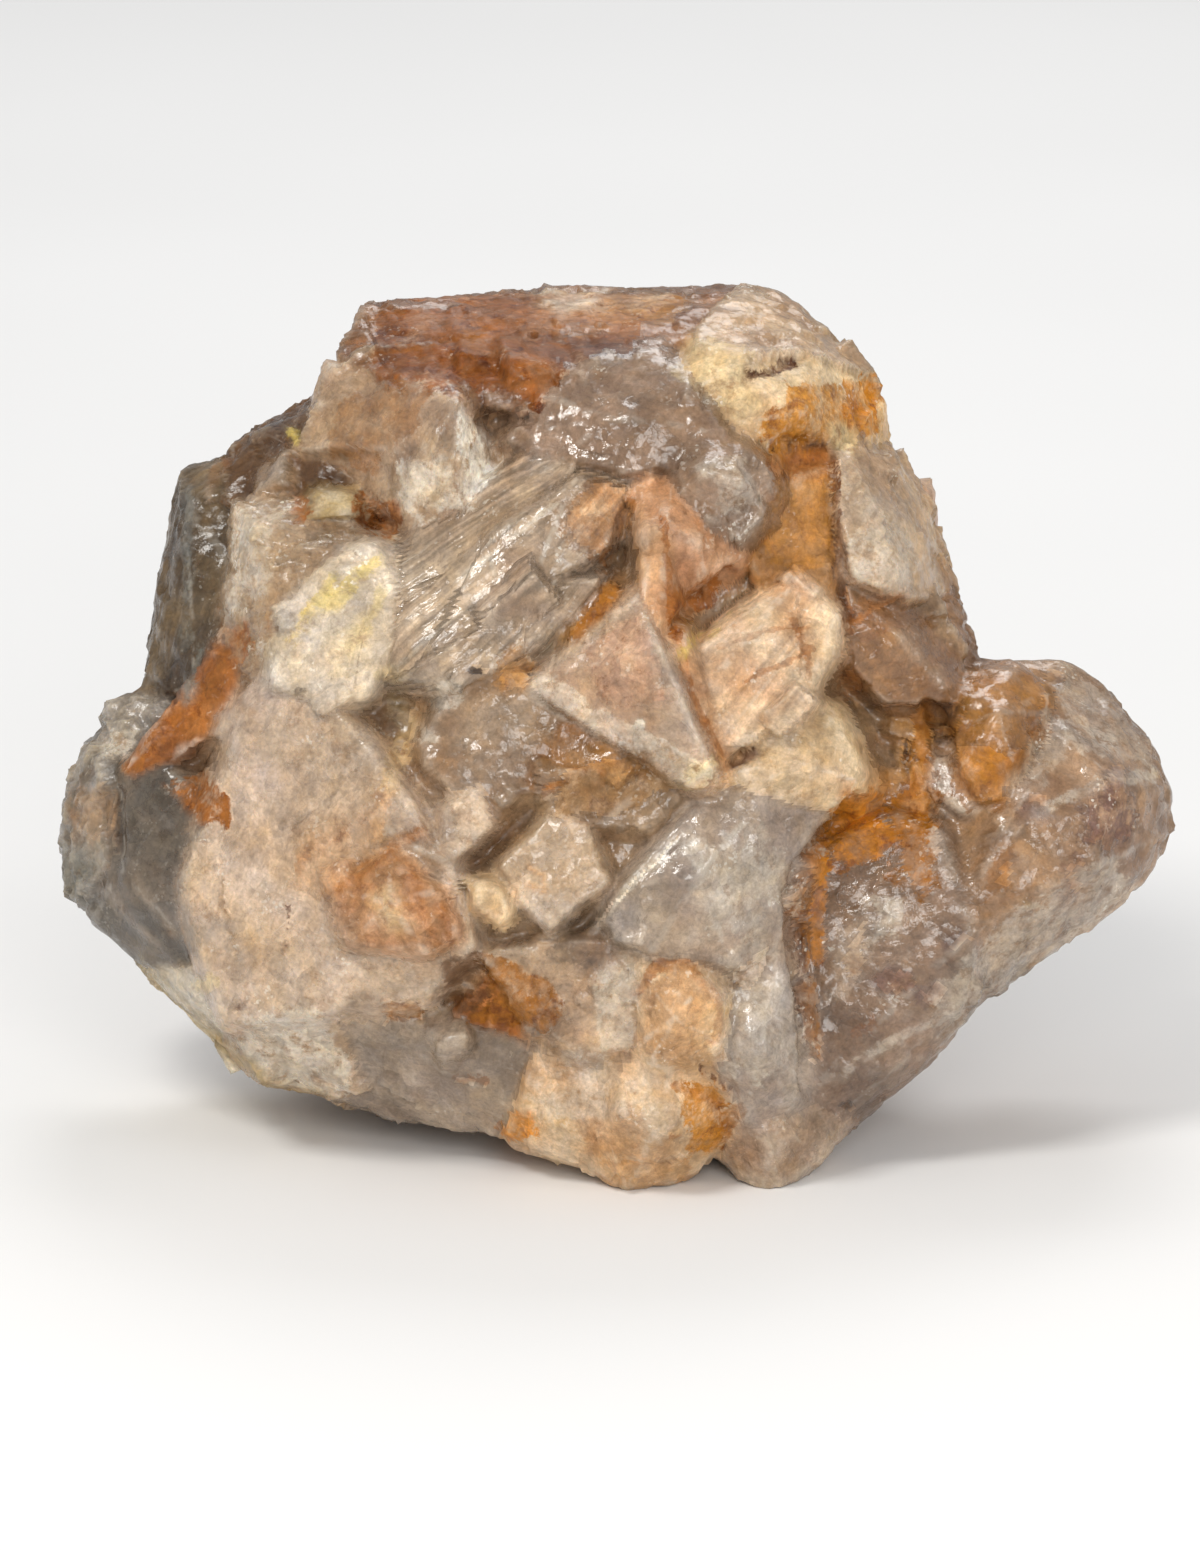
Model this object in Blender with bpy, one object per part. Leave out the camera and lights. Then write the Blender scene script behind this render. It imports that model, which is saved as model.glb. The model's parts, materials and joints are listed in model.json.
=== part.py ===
"""A cluster of window quartz: crystals grown together in one piece of stone.

The stone is laid out in the frame of someone who looks slightly down on it: u runs to the right, v up
and w towards the eye, in millimetres. stand() turns that frame so that the stone rests on z = 0, with
the origin under the middle of its box.

Every crystal is the convex hull of its bared corners and of the same outline, drawn in by its taper,
about where it is rooted in the stone. The crystals are joined in one body, the cracks between them are
cut out, and the underside is worn flat where the stone rests.
"""

import math
import random
from dataclasses import dataclass

import bmesh
import bpy
from mathutils import Euler, Vector

MM = 0.001
LOOK_DOWN = math.radians(15.0)
WORN_AWAY = 2.2
CENTRE_X = 1.05
CENTRE_Y = 18.08

UNEVEN_ROOT = 2.0
REAR_SEED = 7
REAR_RINGS = ((0, 1), (14, 6), (25, 11))
REAR_CENTRE = (-2, 40, -31)
REAR_CURVE = 0.014
TERRACE_SEED = 5
TERRACES = 7
GROUND_SIZE = 0.3

STONE_COLOUR = (0.43, 0.29, 0.19, 1.0)
STONE_ROUGHNESS = 0.28
QUARTZ_IOR = 1.544


@dataclass(frozen=True)
class Crystal:
    """One crystal or crack: its bared corners, its root's depth, and how much outline the root keeps."""

    name: str
    corners: tuple
    root: float
    taper: float = 0.85


HEART = Crystal(
    "heart",
    ((-20, 70, 2), (0, 72, 0), (13, 72, 0), (21, 65, 2), (27, 52, 2), (31, 43, 0), (30, 27, 2),
     (15, 8, 5), (2, 3.5, 5.5), (-8, 6.5, 3), (-22, 10, 2), (-34, 20, 0), (-36, 34, 0), (-30, 55.5, 2)),
    root=-29, taper=0.78,
)

BREAST = Crystal(
    "breast",
    ((-16, 50, 8), (-4, 58, 8.5), (10, 57, 8), (18, 50, 7.5), (19, 36, 8), (15, 20, 9), (12, 10, 9.5),
     (3, 9, 12), (-4, 11, 10.5), (-11, 18, 11), (-19, 22, 12), (-20, 36, 11), (-3, 41, 13.5),
     (6, 33, 14.5), (0, 22, 15.5)),
    root=-10, taper=0.9,
)

CROWN = (
    Crystal(
        "plateau",
        ((-20, 73.9, -6), (-9, 75.2, -12), (2, 75.6, -14), (12, 75.9, -12), (12, 71.5, 2), (3, 69, 7),
         (-3, 67, 9), (-8, 64, 9), (-17, 66, 8), (-22, 69.5, 0)),
        root=-30,
    ),
    Crystal(
        "shoulder",
        ((-23.7, 65.6, 1), (-22.4, 68.4, 1), (-13, 67, 8), (-11.6, 65.2, 12), (-8.3, 61, 6),
         (-11.3, 56.5, 12), (-15.5, 54.5, 10), (-19, 57, 7), (-23, 62, 3), (-14, 61, 13)),
        root=-10,
    ),
    Crystal(
        "left_step",
        ((-31, 61.9, -4), (-28, 62.4, -3), (-27.5, 63.9, -4), (-24.2, 65, -3), (-22, 66.4, 0),
         (-19, 62, 5), (-18.5, 57, 5), (-25, 55.5, 4), (-31, 57, 0)),
        root=-18,
    ),
    Crystal(
        "olive_box",
        ((-24.3, 55.4, 8.5), (-24, 57.9, 8), (-20.4, 57.8, 8.3), (-20.2, 55.4, 8.8)),
        root=2, taper=1.0,
    ),
    Crystal(
        "grey_ridge",
        ((-8.5, 61.8, 9), (-5, 65.8, 9.5), (-1.5, 69, 8), (5, 70.2, 6), (8, 66.5, 10), (10.5, 62.5, 12),
         (9, 60.5, 12.5), (3, 59, 13), (-3.5, 60.3, 12), (1, 63.5, 12.5)),
        root=-8,
    ),
    Crystal(
        "grey_knob",
        ((5.5, 60, 12), (8, 61.6, 12.5), (11.5, 61.8, 12), (14.3, 60, 11.5), (15, 57.5, 11.5),
         (13.8, 55, 12), (11.8, 53.3, 12.5), (9.5, 54.2, 14), (6.5, 57.5, 14.5), (9, 59.5, 16),
         (11.5, 58.5, 16)),
        root=0,
    ),
    Crystal(
        "right_cap",
        ((8, 71.5, 3), (12, 75.7, -8), (15.5, 75.2, -10), (18.7, 72.2, -5), (23.1, 67.7, -4),
         (18, 69.3, 4), (12, 69, 8.5), (8, 69.5, 8)),
        root=-24,
    ),
    Crystal(
        "cream_block",
        ((5.8, 67.5, 8), (8, 70.5, 5), (12, 68.5, 9.5), (18, 69, 4), (22.9, 67, -4), (23.2, 63, -3),
         (20, 61.2, 4), (14, 61.8, 8.5), (11, 63.3, 10), (7, 65.8, 9.5), (17, 64.5, 9)),
        root=-20,
    ),
)

LEFT = (
    Crystal(
        "dark_slab",
        ((-35.3, 60, -6), (-31.5, 61.6, -7), (-28.5, 60, -2), (-29.5, 50, 2), (-33.5, 41, 1),
         (-38.4, 41, -5), (-36.8, 52, -6), (-34.5, 57, -2), (-33.8, 42, 1.5)),
        root=-22,
    ),
    Crystal(
        "left_ledge",
        ((-42.3, 39.2, -5), (-41.3, 41, -5.5), (-37, 41.4, -5), (-33, 40.2, -1), (-34, 34, -1),
         (-39, 34.5, -3), (-41.5, 38.1, -4)),
        root=-14,
    ),
    Crystal(
        "upper_lump",
        ((-41, 38.6, -6), (-43.4, 37.2, -7), (-45, 33, -8), (-43, 29, -3), (-38, 30, -1),
         (-39, 36.5, -2), (-42, 35, -2.5)),
        root=-20,
    ),
    Crystal(
        "lower_lump",
        ((-45.3, 32.5, -8), (-45.7, 28.5, -8), (-45, 24, -7), (-42.8, 22.7, -6), (-40.5, 24, -2),
         (-40, 31, -1), (-42.5, 29, -2.5)),
        root=-20,
    ),
    Crystal(
        "slate_face",
        ((-40.6, 35, -1), (-38.5, 36.5, 0), (-34, 34, 4), (-33, 26, 5), (-31.5, 18, 4), (-35, 18, 0),
         (-38.4, 18.8, -2), (-42.4, 22.3, -4), (-41, 27.5, -2), (-40, 26.5, 1), (-36.5, 23, 3)),
        root=-18,
    ),
    Crystal(
        "rust_band",
        ((-29, 46.8, 6), (-31.2, 46.3, 4), (-34, 40.8, 3), (-39.6, 35.2, 0.5), (-38.5, 34.3, 1),
         (-33.5, 36.8, 4), (-30.8, 40.5, 6), (-29, 44, 7)),
        root=-6,
    ),
    Crystal(
        "frost_crystal",
        ((-30, 56.8, 5), (-26, 56.9, 6), (-23, 55.3, 8), (-18.5, 53.8, 10), (-19.5, 52, 12),
         (-25, 49.5, 11), (-28, 43, 9), (-29.5, 41, 7), (-30.8, 49, 5), (-28.5, 54, 9.5),
         (-27.8, 46, 10.5)),
        root=-10,
    ),
    Crystal(
        "lemon_face",
        ((-18.5, 53.3, 12), (-21.5, 52.6, 12), (-25.3, 49, 12), (-27.3, 45, 11), (-26.8, 41.5, 12),
         (-22, 40, 13.5), (-19, 41, 14.5), (-17, 45, 14.5), (-17, 50, 13.5)),
        root=-5,
    ),
    Crystal(
        "pale_face",
        ((-29.5, 40, 9), (-23, 41, 13), (-19, 37, 15), (-17.5, 30, 16.5), (-12, 27, 17.5),
         (-10.3, 20.5, 17), (-14.5, 15.8, 13.5), (-23, 14.5, 11.5), (-31, 13.8, 7), (-32.5, 18, 7),
         (-34.5, 25.5, 5.5), (-33.5, 28.8, 6), (-30.8, 31, 8)),
        root=-12,
    ),
    Crystal(
        "pink_fold",
        ((-21.8, 25, 15.5), (-17, 28.5, 17.5), (-13, 25, 19), (-11.5, 21.5, 19), (-14, 19.8, 18.5),
         (-20.5, 20.5, 16.5), (-17, 24, 19.2)),
        root=-3,
    ),
)

FACE = (
    Crystal(
        "slab_high",
        ((-16.8, 51.5, 12), (-15.5, 54.5, 10.5), (-6, 61.2, 9.5), (-3, 61, 10), (-2, 59.5, 12.5),
         (-9, 54, 14.5), (-16.5, 48.5, 14)),
        root=-4,
    ),
    Crystal(
        "slab_middle",
        ((-17, 48, 13.5), (-9, 54.2, 15), (-2, 58.7, 14), (2.5, 58, 12), (1, 53, 14), (-6, 49, 17),
         (-15, 43, 16.5), (-17.5, 42.5, 14.5)),
        root=-4,
    ),
    Crystal(
        "slab_low",
        ((-17, 42, 15), (-14.5, 43.5, 17), (-6, 49.2, 17.5), (0.5, 51, 15), (-2, 47.5, 16),
         (-6, 44, 16.5), (-12, 41, 16)),
        root=-4,
    ),
    Crystal(
        "amber_wedge",
        ((-3.8, 46, 15.5), (-1, 50, 14.5), (2, 50, 14.5), (1.5, 48.5, 16.5), (-2.5, 45, 17)),
        root=-3,
    ),
    Crystal(
        "pink_peak",
        ((3.3, 57.8, 13), (6, 58.3, 13), (9.5, 55.8, 13), (12, 52.5, 12), (9, 50, 13.5),
         (5.5, 48.5, 14), (4.3, 53.5, 17), (5.5, 55.5, 17), (8, 53.5, 16.5)),
        root=-3,
    ),
    Crystal(
        "blade",
        ((3.2, 56, 15.5), (5.2, 55, 16.5), (5.6, 50, 17), (6.5, 43, 18.5), (10.2, 34.8, 18),
         (9, 33, 17.5), (7, 34, 18), (5.2, 41, 20), (3.4, 49, 18.5), (2.9, 53, 16)),
        root=-3,
    ),
    Crystal(
        "window",
        ((-5.8, 41.8, 16.5), (2.9, 49.4, 18), (5, 44.5, 21.5), (9, 35, 21), (8.7, 33, 20),
         (6.9, 33.2, 20), (-4.5, 40.5, 17)),
        root=-3, taper=0.9,
    ),
    Crystal(
        "cream_fan",
        ((7.2, 44.2, 15), (13, 48.7, 12.5), (16.5, 50.8, 12), (19.6, 47.5, 12.5), (19.2, 44, 13.5),
         (16.5, 40, 16), (12, 36.7, 18), (9.5, 36.5, 18), (7.2, 40, 17.5)),
        root=-3,
    ),
    Crystal(
        "cream_shards",
        ((10.6, 34.6, 16.5), (14, 38.3, 15.5), (19.8, 39.8, 12), (20.6, 37, 12.5), (21.9, 33.6, 11.5),
         (20, 31.8, 12), (16, 31.9, 14.5), (12, 32.7, 16), (16, 35.5, 17)),
        root=-3,
    ),
    Crystal(
        "brown_clear",
        ((-15, 37, 14.5), (-11.5, 43, 15.5), (-6, 42.8, 16), (-3.5, 39, 15.5), (-4, 34, 15),
         (-8, 30.5, 16), (-11.5, 32.5, 16), (-14, 34.5, 15)),
        root=-3,
    ),
    Crystal(
        "amber_ledge",
        ((-5.3, 39.8, 14.5), (0, 37.8, 16.5), (5, 35.5, 18), (-4.5, 33.3, 16.5), (-7, 32, 15.5)),
        root=-3,
    ),
    Crystal(
        "smoke_clear",
        ((-4.5, 32.5, 16), (1.5, 36, 17), (5.5, 35, 17.5), (7.2, 32.5, 17), (4, 29.5, 17),
         (0, 30, 17.5), (-4.5, 31, 16.5)),
        root=-3,
    ),
    Crystal(
        "pale_cube",
        ((-13.2, 31.5, 16.5), (-10, 33.4, 16.5), (-8.9, 30, 17.5), (-11.5, 27.2, 18), (-12.8, 29, 17.5)),
        root=-3,
    ),
    Crystal(
        "cream_cube",
        ((-8.4, 26.8, 17.5), (-4.2, 30.8, 17), (-1.2, 30.2, 17.5), (0.5, 25.5, 19), (-4.2, 21.8, 19),
         (-6.5, 24, 18.5)),
        root=-3,
    ),
    Crystal(
        "small_cream",
        ((-10.6, 25.2, 18.5), (-9.5, 25.8, 18.5), (-8, 24.8, 19.5), (-7.3, 22.8, 19.5),
         (-8.5, 22, 19.5), (-10, 23.5, 19)),
        root=-3,
    ),
    Crystal(
        "milky_face",
        ((6.8, 30, 18), (9, 33.3, 17.5), (14, 33, 15.5), (18, 31, 12.5), (17, 27, 13), (15.8, 24.5, 13),
         (14.5, 20, 14), (11, 18.5, 16), (4, 19.5, 18), (0, 22.5, 18.5), (1.5, 25, 19), (8, 26, 20)),
        root=-3,
    ),
)

FOOT = (
    Crystal(
        "under_grey",
        ((-10, 20, 15.5), (-3, 21, 17), (4, 20.5, 17), (3.5, 12, 15), (-1.5, 11, 14.5), (-4, 12.5, 14),
         (-4.5, 17, 15)),
        root=0,
    ),
    Crystal(
        "rust_shelf",
        ((-9.8, 19.2, 12.5), (-4.3, 17.2, 13.5), (-3.6, 14, 13), (-6, 12.6, 12), (-12, 14.3, 11),
         (-10, 16, 12)),
        root=0,
    ),
    Crystal(
        "dark_underside",
        ((-21.5, 14.5, 9), (-12, 14.2, 10), (-5, 12.8, 11.5), (-5, 6, 7), (-8, 4.8, 4), (-15, 5.7, 1),
         (-22.5, 7.2, -1), (-20, 9, 3)),
        root=-14,
    ),
    Crystal(
        "grey_underside",
        ((-30, 14, 7), (-22, 14.7, 10), (-20, 9.5, 4), (-22.5, 7.6, 0), (-27.8, 8.5, -3),
         (-31, 11.3, -2)),
        root=-16,
    ),
    Crystal(
        "olive_edge",
        ((-38.6, 19.6, -3), (-38.2, 17.8, -4), (-33.2, 12.6, -4), (-27.8, 8, -4), (-24, 12, 3),
         (-31, 15, 5.5), (-33.5, 18.7, 3)),
        root=-18,
    ),
    Crystal(
        "cream_knob",
        ((-8, 4.9, 7), (-6.8, 3.7, 6), (-4, 3.3, 7), (-1, 1.6, 8), (3, 3, 12), (4, 9, 14),
         (1, 12.8, 14), (-4.3, 13, 12.5), (-6, 9.5, 11)),
        root=-8,
    ),
    Crystal(
        "honey_knob",
        ((0, 0.6, 7), (2, -0.4, 8), (5, 0.2, 8), (8, 2, 8.5), (11, 4.7, 8), (12.2, 6.2, 8.5),
         (9.5, 9, 12), (6, 10.8, 13.5), (3, 10.8, 14), (1, 6, 14.5), (5, 6, 15.5)),
        root=-8,
    ),
    Crystal(
        "peach_block",
        ((3.1, 12, 15.5), (3.4, 17.8, 17), (6.3, 19.1, 17.5), (8.6, 17.6, 17.5), (10.2, 15.8, 16.5),
         (9.8, 12, 15.5), (8, 10.5, 15), (4, 10.3, 15), (6, 14.5, 18.5)),
        root=2,
    ),
    Crystal(
        "clear_block",
        ((9.8, 16, 14.5), (14.5, 19.5, 13.5), (15.6, 21.5, 12.5), (17, 15, 11.5), (17.3, 9, 10.5),
         (15.8, 7, 10.5), (12, 6.6, 11.5), (9, 9.8, 13), (13, 12, 16)),
        root=-4,
    ),
    Crystal(
        "grey_foot",
        ((10, 3, 7), (11.2, 1.2, 7), (13.5, -0.2, 7.5), (15, -0.4, 7.5), (17.5, 2.3, 6),
         (20.8, 5.2, 4.5), (19, 11, 6.5), (12.5, 9, 10), (10.8, 5.5, 9.5), (14, 4, 10.5)),
        root=-8,
    ),
    Crystal(
        "rear_foot",
        ((-20, 6.2, -17), (-4, 5.4, -15.5), (17, 5.2, -14), (15, 8.6, -31), (-17, 9, -31),
         (-23, 22, -18), (19, 22, -16), (-14, 25, -33), (13, 23, -33)),
        root=-6, taper=0.9,
    ),
)

RIGHT = (
    Crystal(
        "upper_slab",
        ((19.7, 60.5, 8), (24.2, 61.5, -2), (26.9, 56.9, -3), (28.9, 51, -3), (28.7, 49.8, -1),
         (25, 49, 9), (21, 50.8, 11), (19.8, 56, 10), (24.5, 53, 9.5)),
        root=-20,
    ),
    Crystal(
        "lower_slab",
        ((20.5, 50, 8.5), (28.7, 49.8, -2), (30.3, 47.5, -3), (31.4, 43.3, -1), (30, 40.2, 4),
         (23.5, 40.2, 7), (21, 43, 8.5), (25, 46, 7.5)),
        root=-20,
    ),
    Crystal(
        "ochre_panel",
        ((14.8, 59, 9), (18.8, 59.2, 8.5), (19.3, 52, 9.5), (19.2, 47, 10), (14, 49.5, 11),
         (12, 52.5, 11)),
        root=-6,
    ),
    Crystal(
        "amber_recess",
        ((14, 59, 6.5), (19.2, 59, 6.5), (19.2, 62, 6), (13.5, 62, 6.5)),
        root=-6,
    ),
    Crystal(
        "honey_crystal",
        ((28.6, 38.5, 5), (30.5, 41.8, 3.5), (34.2, 43.6, 1.5), (37.3, 41, 2), (37, 39.5, 3.5),
         (34, 35.5, 7.5), (33.3, 32.5, 7.5), (31.5, 32.3, 7.5), (30, 35, 7.5), (33, 39.5, 8)),
        root=-8,
    ),
    Crystal(
        "honey_low",
        ((24.8, 39.5, 2.5), (26.5, 40, 2.5), (28, 37.5, 3.5), (27, 33, 5), (25, 32, 5), (24.5, 36, 4)),
        root=-8,
    ),
    Crystal(
        "brown_low",
        ((20.5, 39, 2.5), (24.5, 38.5, 2), (25, 33, 4.5), (22, 32, 5), (20.5, 35, 4)),
        root=-8,
    ),
    Crystal(
        "grey_low",
        ((27.5, 36.5, 3.5), (30, 35.5, 4.5), (31.5, 32, 6.5), (30, 31, 6.5), (27.2, 33.5, 5)),
        root=-8,
    ),
    Crystal(
        "right_low",
        ((17.2, 8, 8), (17, 22, 8.5), (19, 29, 8), (24, 31.5, 7.5), (28, 30, 8), (31, 22, 9.5),
         (30.2, 15.5, 8), (25, 10, 6), (20.3, 5.2, 4), (18, 4, 5), (27.5, 12, 3), (22, 7.2, 3)),
        root=-16,
    ),
    Crystal(
        "right_high",
        ((28, 40.5, -2), (33, 43.6, -4), (38.7, 43.9, -5), (42.3, 41.4, -5), (46, 37, -5),
         (47.8, 33.3, -4), (47.5, 29.3, -3), (45.2, 25.4, -2), (37, 19.8, 0), (30, 14, 2), (29, 20, 9),
         (33, 30, 8.5), (38.5, 37.5, 4), (43, 34, 4.5), (41, 27, 6.5)),
        root=-20,
    ),
    Crystal(
        "right_nub",
        ((27, 12.3, 1), (28.6, 11.7, 1), (29.6, 12.6, 0.5), (30.5, 14.5, 1), (28, 15, 3)),
        root=-6,
    ),
)

CRACKS = (
    Crystal(
        "right_cleft_high",
        ((21, 33, 30), (22, 31.5, 30), (17.5, 25.5, 30), (16.2, 24.8, 30)),
        root=-1, taper=0.35,
    ),
    Crystal(
        "right_cleft_low",
        ((16, 25.2, 30), (17.2, 25.5, 30), (17.6, 14.5, 30), (16.7, 14.5, 30)),
        root=-1, taper=0.35,
    ),
    Crystal(
        "slab_cleft",
        ((19.2, 61.5, 30), (20.2, 61.5, 30), (20.4, 46, 30), (19.8, 46, 30)),
        root=2, taper=0.4,
    ),
    Crystal(
        "cap_hole",
        ((12.2, 68.2, 30), (13.2, 67.2, 30), (17, 68.9, 30), (15, 69.2, 30)),
        root=2, taper=0.7,
    ),
    Crystal(
        "brow_slot",
        ((-10, 63.4, 30), (-10, 64, 30), (-5, 64.6, 30), (-5.2, 63.7, 30)),
        root=3, taper=0.8,
    ),
    Crystal(
        "pink_cleft",
        ((5.5, 45.8, 30), (5.6, 48.5, 30), (11.4, 52.2, 30), (10.8, 50, 30), (8, 46.8, 30)),
        root=6, taper=0.7,
    ),
)


def stand(point):
    """Turns (u, v, w) in millimetres to the standing stone's place in metres."""
    u, v, w = point
    y = v * math.sin(LOOK_DOWN) - w * math.cos(LOOK_DOWN)
    z = v * math.cos(LOOK_DOWN) + w * math.sin(LOOK_DOWN)
    return Vector((u - CENTRE_X, y - CENTRE_Y, z - WORN_AWAY)) * MM


def block(name, centre, half, turn, root, taper=0.75):
    """A crystal with eight bared corners: a box of the given half sizes, turned about its centre."""
    signs = [(i, j, k) for i in (-1, 1) for j in (-1, 1) for k in (-1, 1)]
    turned = [Vector(centre) + turn @ Vector((half[0] * i, half[1] * j, half[2] * k)) for i, j, k in signs]
    return Crystal(name, tuple(tuple(corner) for corner in turned), root, taper)


def rear_crystals():
    """Blocky crystals that cover the rear in three rings, bigger in the middle."""
    chance = random.Random(REAR_SEED)
    crystals = []
    for ring, (reach, count) in enumerate(REAR_RINGS):
        for step in range(count):
            angle = 2 * math.pi * (step + 0.5 * ring + chance.uniform(-0.2, 0.2)) / count
            away = (reach * math.cos(angle), reach * math.sin(angle), REAR_CURVE * reach ** 2)
            centre = Vector(REAR_CENTRE) + Vector(away)
            size = chance.uniform(7.5, 11.5) - 1.6 * ring
            half = (size, size * chance.uniform(0.6, 0.9), size * chance.uniform(0.5, 0.8))
            turn = Euler([chance.uniform(-0.6, 0.6) for axis in range(3)]).to_matrix()
            crystals.append(block(f"rear_{ring}_{step}", centre, half, turn, -8))
    return tuple(crystals)


def terraces():
    """Low steps that break up the top, from front to rear."""
    chance = random.Random(TERRACE_SEED)
    crystals = []
    for step in range(TERRACES):
        share = step / (TERRACES - 1)
        centre = (chance.uniform(-13, 3), 67.6 + 5.6 * share, 5 - 15 * share)
        half = (chance.uniform(5, 7.5), chance.uniform(1.2, 1.8), chance.uniform(1.8, 3.2))
        angles = (chance.uniform(0.2, 0.5), chance.uniform(-0.35, 0.35), chance.uniform(-0.12, 0.16))
        turn = Euler(angles).to_matrix()
        crystals.append(block(f"terrace_{step}", centre, half, turn, 1.5 - 18 * share, 0.9))
    return tuple(crystals)


def hull(crystal, collection):
    """A crystal's solid, kept as a hidden helper for the Booleans."""
    middle = sum((Vector(c) for c in crystal.corners), Vector()) / len(crystal.corners)
    rooted = [(middle.x + (u - middle.x) * crystal.taper, middle.y + (v - middle.y) * crystal.taper,
               crystal.root + UNEVEN_ROOT * math.sin(0.9 * u + 1.7 * v)) for u, v, w in crystal.corners]
    shape = bmesh.new()
    for point in list(crystal.corners) + rooted:
        shape.verts.new(stand(point))
    bmesh.ops.convex_hull(shape, input=shape.verts)
    loose = [vert for vert in shape.verts if not vert.link_faces]
    bmesh.ops.delete(shape, geom=loose, context="VERTS")
    bmesh.ops.recalc_face_normals(shape, faces=shape.faces)
    mesh = bpy.data.meshes.new(crystal.name)
    shape.to_mesh(mesh)
    shape.free()
    solid = bpy.data.objects.new(crystal.name, mesh)
    collection.objects.link(solid)
    solid.hide_render = True
    solid.display_type = "WIRE"
    return solid


def combine(stone, operation, collection):
    """Joins or cuts the stone with the solids of a collection, one after another."""
    for solid in collection.objects:
        boolean = stone.modifiers.new(solid.name, "BOOLEAN")
        boolean.operation = operation
        boolean.object = solid
        boolean.solver = "EXACT"


def worn_underside(collection):
    """The slab below z = 0 that takes the stone's underside away, so that it rests on flat ground."""
    bpy.ops.mesh.primitive_cube_add(size=GROUND_SIZE, location=(0, 0, -GROUND_SIZE / 2))
    ground = bpy.context.object
    ground.name = "ground"
    for holder in ground.users_collection:
        holder.objects.unlink(ground)
    collection.objects.link(ground)
    ground.hide_render = True
    ground.display_type = "WIRE"


def quartz():
    """Clouded, iron-stained quartz."""
    material = bpy.data.materials.new("quartz")
    material.use_nodes = True
    surface = material.node_tree.nodes["Principled BSDF"]
    surface.inputs["Base Color"].default_value = STONE_COLOUR
    surface.inputs["Metallic"].default_value = 0.0
    surface.inputs["Roughness"].default_value = STONE_ROUGHNESS
    surface.inputs["IOR"].default_value = QUARTZ_IOR
    return material


def main():
    """Grows the crystals into the heart of the stone, then opens the cracks and wears the underside."""
    for old in list(bpy.data.objects):
        bpy.data.objects.remove(old)
    root = bpy.context.scene.collection
    parts = bpy.data.collections.new("window_quartz")
    grown = bpy.data.collections.new("crystals")
    cut = bpy.data.collections.new("cracks")
    for made in (parts, grown, cut):
        root.children.link(made)
    for crystal in (BREAST,) + CROWN + LEFT + FACE + FOOT + RIGHT + rear_crystals() + terraces():
        hull(crystal, grown)
    for crack in CRACKS:
        hull(crack, cut)
    worn_underside(cut)
    stone = hull(HEART, parts)
    stone.name = "quartz_cluster"
    stone.hide_render = False
    stone.display_type = "TEXTURED"
    stone.data.materials.append(quartz())
    combine(stone, "UNION", grown)
    combine(stone, "DIFFERENCE", cut)


main()
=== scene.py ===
"""Looks of the window quartz cluster: its broken and grown skin, its clouds and stains, light and camera.

Sizes are in millimetres in the frame of someone who looks slightly down on the stone: u to the right, v up,
w towards the eye. Stance turns that frame into the stone's place in metres. The skin is worked out with
numpy: rays leave a flat plate inside the stone, and each ends where it leaves the last crystal it meets.
"""

import json
import logging
import math
import random
from dataclasses import dataclass, field
from enum import Enum

import bmesh
import bpy
import numpy as np
from mathutils import Euler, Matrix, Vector

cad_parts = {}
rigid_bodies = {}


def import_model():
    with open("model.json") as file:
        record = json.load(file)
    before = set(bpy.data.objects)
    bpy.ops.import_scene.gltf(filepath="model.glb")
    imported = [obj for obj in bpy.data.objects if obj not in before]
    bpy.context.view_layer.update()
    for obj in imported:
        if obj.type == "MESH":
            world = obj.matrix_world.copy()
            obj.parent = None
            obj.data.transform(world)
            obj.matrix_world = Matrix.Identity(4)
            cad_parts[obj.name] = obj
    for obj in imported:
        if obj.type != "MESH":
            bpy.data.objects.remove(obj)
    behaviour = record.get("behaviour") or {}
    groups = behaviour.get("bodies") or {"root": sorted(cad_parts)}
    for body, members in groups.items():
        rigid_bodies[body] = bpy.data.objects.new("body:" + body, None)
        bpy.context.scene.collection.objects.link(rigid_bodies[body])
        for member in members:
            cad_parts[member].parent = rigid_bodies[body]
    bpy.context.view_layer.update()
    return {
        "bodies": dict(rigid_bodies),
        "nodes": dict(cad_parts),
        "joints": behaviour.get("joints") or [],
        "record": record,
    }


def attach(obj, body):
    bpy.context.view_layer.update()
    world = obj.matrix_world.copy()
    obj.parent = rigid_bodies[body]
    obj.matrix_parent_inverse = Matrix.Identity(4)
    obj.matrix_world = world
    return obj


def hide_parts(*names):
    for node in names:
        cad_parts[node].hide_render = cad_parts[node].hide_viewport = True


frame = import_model()
LOG = logging.getLogger("window_quartz")

MM = 0.001
EYE_DISTANCE = 900.0
EYE_AIM = (0.0, 34.3)
PICTURE_HEIGHT = 129.25
PLATE_DEPTH = -9.0
PLATE_CENTRE = (1.0, 37.0)


class Slot(Enum):
    """The three glassy finishes that share the skin, by how much light goes through them."""

    CLEAR = 0
    CLOUDED = 1
    STAINED = 2


@dataclass(frozen=True)
class Surface:
    """How one crystal looks and how its faces are worked.

    Lengths are in millimetres, and colours are display values from 0 to 1.
    """

    tint: tuple[float, float, float]
    mottle: tuple[float, float, float]
    slot: Slot = Slot.CLOUDED
    cloud: float = 0.5
    rust: float = 0.15
    chips: float = 0.22
    chip_size: float = 2.6
    grain: float = 0.05
    ridges: float = 0.0
    ridge_step: float = 1.2
    ridge_angle: float = 45.0


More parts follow.
